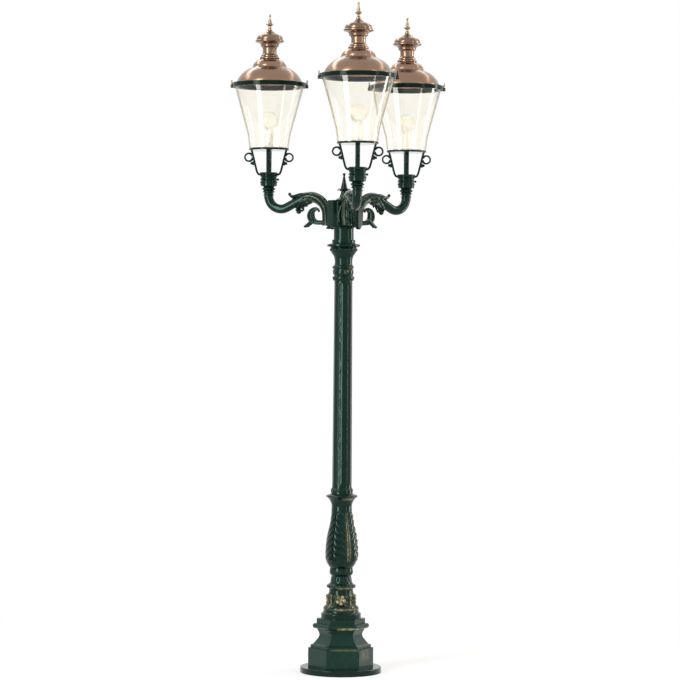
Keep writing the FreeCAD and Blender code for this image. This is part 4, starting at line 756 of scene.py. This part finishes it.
def arm_shells():
    veins = leaf_veins(5)
    # The tube, and the C-scroll from its curled tip round the eye and back along the foot to the plate.
    shells = [arm_tube_shell(), swept_shell([
        (143, 2515, 4, 10), (151, 2522, 12, 17), (163, 2525, 21, 23), (177, 2520, 28, 27), (188, 2509, 36, 30),
        (193, 2492, 44, 32), (190, 2474, 44, 32), (178, 2460, 37, 31), (159, 2452, 29, 30), (135, 2450, 27, 29),
        (105, 2450, 28, 29), (78, 2451, 32, 30)], 90, 48, scroll_groove, square=0.5)]
    shells.append(ball_shell((147, 0, 2514), 7))
    # The leaf at the heel of the scroll, and the curl of its tip.
    shells.append(swept_shell([(176, 2466, 26, 26), (190, 2453, 26, 27), (203, 2443, 24, 25), (215, 2435, 20, 22),
                               (226, 2430, 16, 17), (234, 2428, 9, 10)], 34, 24, veins))
    curled_tip = [(192, 2452, 14, 16), (201, 2440, 12, 14), (206, 2430, 9, 11), (208, 2424, 4, 6)]
    shells.append(swept_shell(curled_tip, 20, 16))
    # The horn where the long leaf leaves the tube.
    shells.append(swept_shell([(205, 2592, 14, 40), (222, 2600, 24, 44), (243, 2602, 27, 42), (264, 2599, 27, 36),
                               (284, 2594, 25, 29), (300, 2593, 21, 23), (312, 2597, 17, 18), (319, 2604, 14, 14)],
                              48, 26, veins))
    shells.append(ball_shell((320, 0, 2607), 9, 20))
    # Leaf fingers that fall from the slope to the berry, each from x, z to its tip.
    falls = ((232, 2574, 268, 2520, 1.0), (208, 2570, 245, 2528, 0.9), (184, 2570, 224, 2540, 0.75))
    for aside, spread in ((0, 0), (-13, -6), (13, 6)):
        for x, z, tip_x, tip_z, size in falls:
            shells.append(swept_shell([
                (x, z, 13 * size, 22 * size, 0),
                (x + 0.45 * (tip_x - x), z - 14 * size, 20 * size, 25 * size, spread * 0.3),
                (x + 0.8 * (tip_x - x), tip_z + 20 * size, 19 * size, 22 * size, spread * 0.7),
                (tip_x, tip_z + 6, 13 * size, 15, spread), (tip_x - 2, tip_z - 3, 5, 7, spread)],
                28, 18, veins, aside * 0.9))
    shells.append(ball_shell((265, 0, 2512), 14.5, 28))
    for berry in ((249, -9, 2516), (249, 9, 2516), (238, 0, 2521), (279, 0, 2520)):
        shells.append(ball_shell(berry, 6.5, 16))
    # Mounting plate, its rolled toe, and the gussets that carry the stem.
    shells.append(block_shell((67, -50, 2425), (79, 50, 2565), 3.5))
    shells.append(swept_shell([(75, 2431, 11, 70), (82, 2428.5, 9, 66), (88, 2431, 6, 60), (90, 2435, 3, 54)], 18, 30))
    bun = outline([(7, -9), (12, -7), (13.5, -3), (12, 0), (9, 4)], 1, 1)
    gusset = ((84, 2437, 10, 12, 14), (92, 2462, 16, 14, 21), (94, 2490, 17, 13, 24), (101, 2518, 14, 11, 24),
              (114, 2542, 10, 8, 23), (128, 2556, 4, 4, 20))
    edge = ((80, 2440, 8, 12, 33), (83, 2475, 9, 18, 37), (82, 2510, 9, 16, 34), (82, 2538, 7, 9, 27),
            (81, 2552, 3, 4, 22))
    for hand in (-1, 1):
        shells.append(turned_shell(bun, 28, centre=(78, hand * 30), foot=2422))
        for rows, count in ((gusset, 40), (edge, 36)):
            shells.append(swept_shell([(*row[:4], hand * row[4]) for row in rows], count, 20, veins))
    return shells


def make_arms():
    shells = arm_shells()
    for side in SIDES:
        casting(f"{side}_arm_casting", [placed(shell, ARM_ANGLE[side]) for shell in shells], f"{side}_arm", 45)


# ======== lanterns
HOOD_TURN = {"front": LANTERN_TURN + pi, "left": LANTERN_TURN + pi, "right": LANTERN_TURN}
# Heights, in millimetres, on which the pieces of a lantern stand.
SPIGOT_FOOT, SLEEVE_FOOT, TRAY_FOOT, RING_FOOT = 2601, 2668, 2855, 3191
HOOD_FOOT, CAP_FOOT, SPIRE_FOOT = 3221, 3351, 3507


def spigot_shells():
    line = [(30, 0), (30.5, 3), (26, 8), (25.5, 14), (33, 17), (34, 22), (26, 27), (34, 31), (37.5, 36), (34, 41),
            (28, 45), (30, 48), (45.5, 53), (45.5, 67), (32, 67), (32, 121), (9, 122)]
    return [turned_shell(outline(line, 1.2, 1), 96, foot=SPIGOT_FOOT)]


def cradle_shells():
    """The ringed sleeve, four flat legs that turn in at its top, ear loops with a square lug, and the thin ring."""
    sleeve = [(32.6, 0), (46, 0), (49, 2.5), (49, 9), (43.5, 12), (43.5, 16), (48, 20), (48, 25), (43, 29), (42.5, 33),
              (47, 37), (47, 41), (42.5, 45), (43, 49), (49.5, 52), (49.5, 58), (48, 60), (32.6, 60)]
    ring = [(106, 182), (109.5, 182), (111, 184), (111, 190), (109.5, 193), (106, 193)]
    shells = [turned_shell(outline(line, 1.2, 1), columns, foot=SLEEVE_FOOT, wrapped=True)
              for line, columns in ((sleeve, 96), (ring, 128))]
    bends = ((43, 2716), (52, 2716.5), (59, 2721), (65, 2731), (70, 2748), (82, 2797), (92, 2837), (96, 2852))
    leg = swept_shell([(x, z, 12, 25) for x, z in bends], 60, 32, square=0.4)
    turn, loop = np.linspace(radians(-176), radians(160), 26), 21.5
    ear = swept_shell([(111 + loop * cos(t), 2811 + loop * sin(t), 10 + 4 * max(0, -cos(t)), 22) for t in turn],
                      60, 24, square=0.6)
    lug = block_shell((80, -9, 2767), (92, 9, 2789), 2.5)
    for quarter in range(4):
        shells += [placed(shell, quarter * pi / 2) for shell in (leg, ear, lug)]
    return shells


def tray_shells():
    line = [(8, -5), (104, -5), (107, -4), (107, 6), (104.5, 10), (8, 10)]
    return [turned_shell(outline(line, 2, 0), 96, foot=TRAY_FOOT, wrapped=True)]


def ring_shells():
    """The ring on the glass: an outer rim over the glass edge, a short skirt inside, and four ears for the pins."""
    line = [(178, 8), (183, 6), (184, 18), (196, 18), (197, 5), (203, 5), (204, 7), (204, 28), (202, 30), (177, 30)]
    shells = [turned_shell(outline(line, 1.5, 0), 160, foot=RING_FOOT, wrapped=True)]
    for across in (-206, 206):
        for aside in (-7.9, 7.9):
            shells.append(block_shell((across - 8, aside - 2.4, 3193.5), (across + 8, aside + 2.4, 3211.5), 1.2))
    return shells


def hood_shells():
    """A spun shell with its strap and knuckle at +X and the tab for the latch at -X."""
    outer = [(187, 0), (187, 3), (182, 3.4, 12), (106, 81, -2.5), (94, 91), (93, 94, 6.5), (57, 127), (55, 130),
             (44, 130)]
    inner = [(44, 127), (56, 125, -6.5), (91, 92), (92, 89), (104, 78, -11.5), (179, 2.4), (180, 0)]
    points, faces, highlight_paint = turned_shell(outline([(2.9, -5), (6, -5), (6, 5), (2.9, 5)], 1, 0), 28, wrapped=True)
    knuckle = np.stack([points[:, 0] + 209, -points[:, 2], points[:, 1] + 3201], -1), faces, highlight_paint
    return [turned_shell(outline(outer + inner, 1.6, 0), 160, foot=HOOD_FOOT, wrapped=True), knuckle,
            block_shell((176, -5, 3221), (208, 5, 3224), 0.8), block_shell((204.6, -5, 3204), (210.6, 5, 3237), 1.4),
            block_shell((-204, -5, 3221), (-176, 5, 3224), 0.8)]


def chimney_shells():
    """The beaded neck and its mushroom cap, hollow from below."""
    bore = [(2, 150), (20, 147), (34, 132), (37, 100), (36, 60), (36, -14)]
    neck = [(43.5, -14), (43.5, 0), (51, 0.5), (55, 4), (55, 9), (52, 13), (46, 16), (47.5, 19), (47.5, 22),
            (43, 26, -1), (38.5, 40), (38.5, 52, -1.5), (44, 68), (50, 71), (51, 75), (49, 79)]
    cap = [(52, 83, -2), (62, 90), (75, 94), (79.5, 97), (80, 101), (78, 105), (73, 107), (72, 109), (73.5, 111),
           (73, 115, 4), (52, 136, -2), (26, 151, -1.5), (12, 162), (9, 166)]
    return [turned_shell(outline(bore + neck + cap, 1.3, 1), 112, foot=CAP_FOOT)]


def finial_shells():
    line = [(9, 0), (14, 6), (13, 12, -1.5), (7.5, 24), (7.5, 27), (13, 30), (15, 34), (15, 38), (13, 42), (9.5, 45),
            (10.5, 49, 1), (8.5, 56), (5.5, 68), (4.6, 78), (4.6, 80)]
    return [turned_shell(outline(line, 1, 1), 48, foot=SPIRE_FOOT), ball_shell((0, 0, 3593), 7, 24)]


def make_lanterns(ring):
    leaf = template("finial_leaf", [swept_shell(
        [(-4, 0, 3, 9), (2, 1, 3, 10), (7, 4, 2.6, 9), (10, 8, 2.4, 6), (10, 11, 2, 3)], 14, 12)])
    for side, place in LANTERN_PLACE.items():
        lid = f"{side}_lid"
        for piece, node, shells, skin, slot, body in (
                ("ring_casting", "top_ring", ring_shells(), DARK_GREEN, "green_paint", "post"),
                ("cradle_casting", "cradle", cradle_shells(), GREEN, "green_paint", "post"),
                ("spigot_casting", "spigot", spigot_shells(), GREEN, "green_paint", "post"),
                ("hood_spinning", "hood", hood_shells(), COPPER[side], "copper", lid),
                ("cap_spinning", "chimney", chimney_shells(), BRIGHT_COPPER[side], "copper", lid),
                ("spire", "finial", finial_shells(), BRASS[side], "brass", lid),
                ("tray_disc", "lamp_tray", tray_shells(), WHITE, "white_holder", "post")):
            turn = HOOD_TURN[side] if node == "hood" else LANTERN_TURN
            standing = [placed(shell, turn, 1000 * place[0], 1000 * place[1]) for shell in shells]
            new_piece(f"{side}_{piece}", standing, skin, slot, body, f"{side}_{node}")
        leaves = grown(f"{side}_spire_leaves", ring, BRASS[side], place, Ornament=leaf, Count=6, Radius=0.0095,
                       Height=3.538)
        settle(leaves, "brass", lid)
    bpy.data.objects.remove(leaf)


# ======== what repeats, made with Geometry Nodes
def new_geometry_tree(name, inputs):
    return new_group(name, "GeometryNodeTree", inputs + [("Finish", "Material")], [("Geometry", "Geometry")])


def end_tree(tree, shape, given, gives):
    """Make the shape real, give it its finish and put it out."""
    real = wire(tree, "GeometryNodeRealizeInstances", {0: shape})
    feed(wire(tree, "GeometryNodeSetMaterial", {"Geometry": real, "Material": given["Finish"]}), gives[0])
    return tree


def ring_tree():
    """A template standing on +X, repeated around the upright axis at even angles."""
    tree, given, gives = new_geometry_tree("ring_of_ornaments", [
        ("Ornament", "Object"), ("Count", "Int"), ("Radius", "Float"), ("Height", "Float"), ("Turn", "Float")])
    circle = wire(tree, "GeometryNodeMeshCircle", {"Vertices": given["Count"], "Radius": given["Radius"]})
    lift, spin = (from_parts(tree, 0, 0, given[label]) for label in ("Height", "Turn"))
    points = wire(tree, "GeometryNodeTransform", {"Geometry": circle, "Translation": lift, "Rotation": spin})
    ornament = wire(tree, "GeometryNodeObjectInfo", {"Object": given["Ornament"]}, "Geometry")
    place = wire(tree, "GeometryNodeInputPosition")
    flat = wire(tree, "ShaderNodeVectorMath", {0: place, 1: (1, 1, 0)}, operation="MULTIPLY")
    facing = wire(tree, "FunctionNodeAlignEulerToVector", {"Vector": flat}, axis="X", pivot_axis="Z")
    copies = wire(tree, "GeometryNodeInstanceOnPoints", {"Points": points, "Instance": ornament, "Rotation": facing})
    return end_tree(tree, copies, given, gives)


def shaft_tree():
    """The shaft: a tapering cylinder whose flutes stop short of both ends."""
    sizes = {"Length": 1.181, "Foot Radius": 0.0533, "Top Radius": 0.0491, "Flutes": 12.0, "Flute Depth": 0.0018,
             "Flute Share": 0.86, "Plain Foot": 0.046, "Plain Top": 0.032, "Flute End": 0.012, "Turn": 0.0}
    tree, given, gives = new_geometry_tree("fluted_shaft", [(label, "Float", size) for label, size in sizes.items()])
    rod = wire(tree, "GeometryNodeMeshCylinder", {"Vertices": 240, "Side Segments": 200, "Radius": 1.0, "Depth": 1.0},
               "Mesh", fill_type="TRIANGLE_FAN")
    x, y, z = parts(wire(tree, "GeometryNodeInputPosition"))
    share = z + 0.5
    height = share * given["Length"]
    angle = y.maths(x, "ARCTAN2") - given["Turn"]
    nearest = (angle * given["Flutes"] / (2 * pi) + 0.5).maths(1.0, "FLOORED_MODULO")
    aside = (nearest - 0.5) * 2.0 / given["Flute Share"]
    # Rounded ends: how far a point lies past the plain ends, as a share of the length over which a flute runs out.
    low = given["Plain Foot"] - height + given["Flute End"]
    high = height - (given["Length"] - given["Plain Top"] - given["Flute End"])
    past = low.at_least(high).at_least(0.0) / given["Flute End"]
    hollow = solved(tree, "SUBTRACT", 1.0, aside * aside + past * past).at_least(0.0) ** 0.6
    radius = mixed(share, given["Foot Radius"], given["Top Radius"], "FLOAT") - hollow * given["Flute Depth"]
    place = from_parts(tree, x * radius, y * radius, height)
    shape = wire(tree, "GeometryNodeSetPosition", {"Geometry": rod, "Position": place})
    return end_tree(tree, shape, given, gives)


def grown(name, tree, skin, move=(0, 0, 0), **inputs):
    """The tree's result as a plain mesh object at the origin, moved into its place in the mesh."""
    carrier = show(name + "_maker", bpy.data.meshes.new(name + "_maker"))
    modifier = carrier.modifiers.new("maker", "NODES")
    modifier.node_group = tree
    inputs["Finish"] = skin
    for item in tree.interface.items_tree:
        if item.in_out == "INPUT" and item.name in inputs:
            modifier[item.identifier] = inputs[item.name]
    seen = carrier.evaluated_get(bpy.context.evaluated_depsgraph_get())
    mesh = bpy.data.meshes.new_from_object(seen)
    bpy.data.objects.remove(carrier)
    mesh.name = name
    mesh.transform(Matrix.Translation(Vector(move)))
    smooth_shaded(mesh, 40)
    return bpy.data.objects.new(name, mesh)


def template(name, shells):
    """An ornament for a ring to repeat, in millimetres about its own foot."""
    points, faces, _ = stacked(shells)
    mesh = bpy.data.meshes.new(name)
    mesh.from_pydata(points.tolist(), [], faces)
    return show(name, mesh)


def make_repeats(ring):
    flute_turn = radians(-25.6 - 90)
    shaft = grown("fluted_shaft", shaft_tree(), SHAFT_GREEN, (0, 0, 0.972), Turn=flute_turn)
    settle(shaft, "green_paint", "post", "shaft")

    def repeat(name, shells, height=0, **sizes):
        ornament = template(name + "_one", shells)
        settle(grown(name, ring, GREEN, (0, 0, height), Ornament=ornament, **sizes), "green_paint", "post")
        bpy.data.objects.remove(ornament)

    repeat("capital_beads", [ball_shell((0, 0, 0), 7.6, 14)], 2.3005, Count=24, Radius=0.0695)
    petal = [(-6, -13, 8, 20), (-1, -8, 11, 24), (1.5, 0, 12, 25), (0, 8, 9, 20), (-6, 14, 5, 10)]
    repeat("collar_petals", [swept_shell(petal, 16, 16)], 0.989, Count=12, Radius=0.0545, Turn=flute_turn)
    spire = outline([(46, 0), (46, 4), (32, 14, -3), (23, 28, -1), (17, 44), (16, 52), (21, 56), (23, 60), (20, 64),
                     (18.5, 68), (11, 100), (5.5, 132), (5.5, 134)], 1.4, 1)
    casting("hub_spire", [turned_shell(spire, 72, foot=2569), ball_shell((0, 0, 2711.5), 8.5, 24)], "hub_finial")
    leaf = [(-8, -10, 5, 12), (0, -2, 6, 15), (8, 2, 5, 14), (14, 0, 5, 11), (15, -6, 4, 7), (11, -8, 3, 5)]
    repeat("hub_spire_leaves", [swept_shell(leaf, 20, 14)], Count=6, Radius=0.019, Height=2.63)


ornament_ring = ring_tree()
make_post_castings()
make_arms()
make_lanterns(ornament_ring)
make_repeats(ornament_ring)

# ======== the end
bpy.context.view_layer.update()
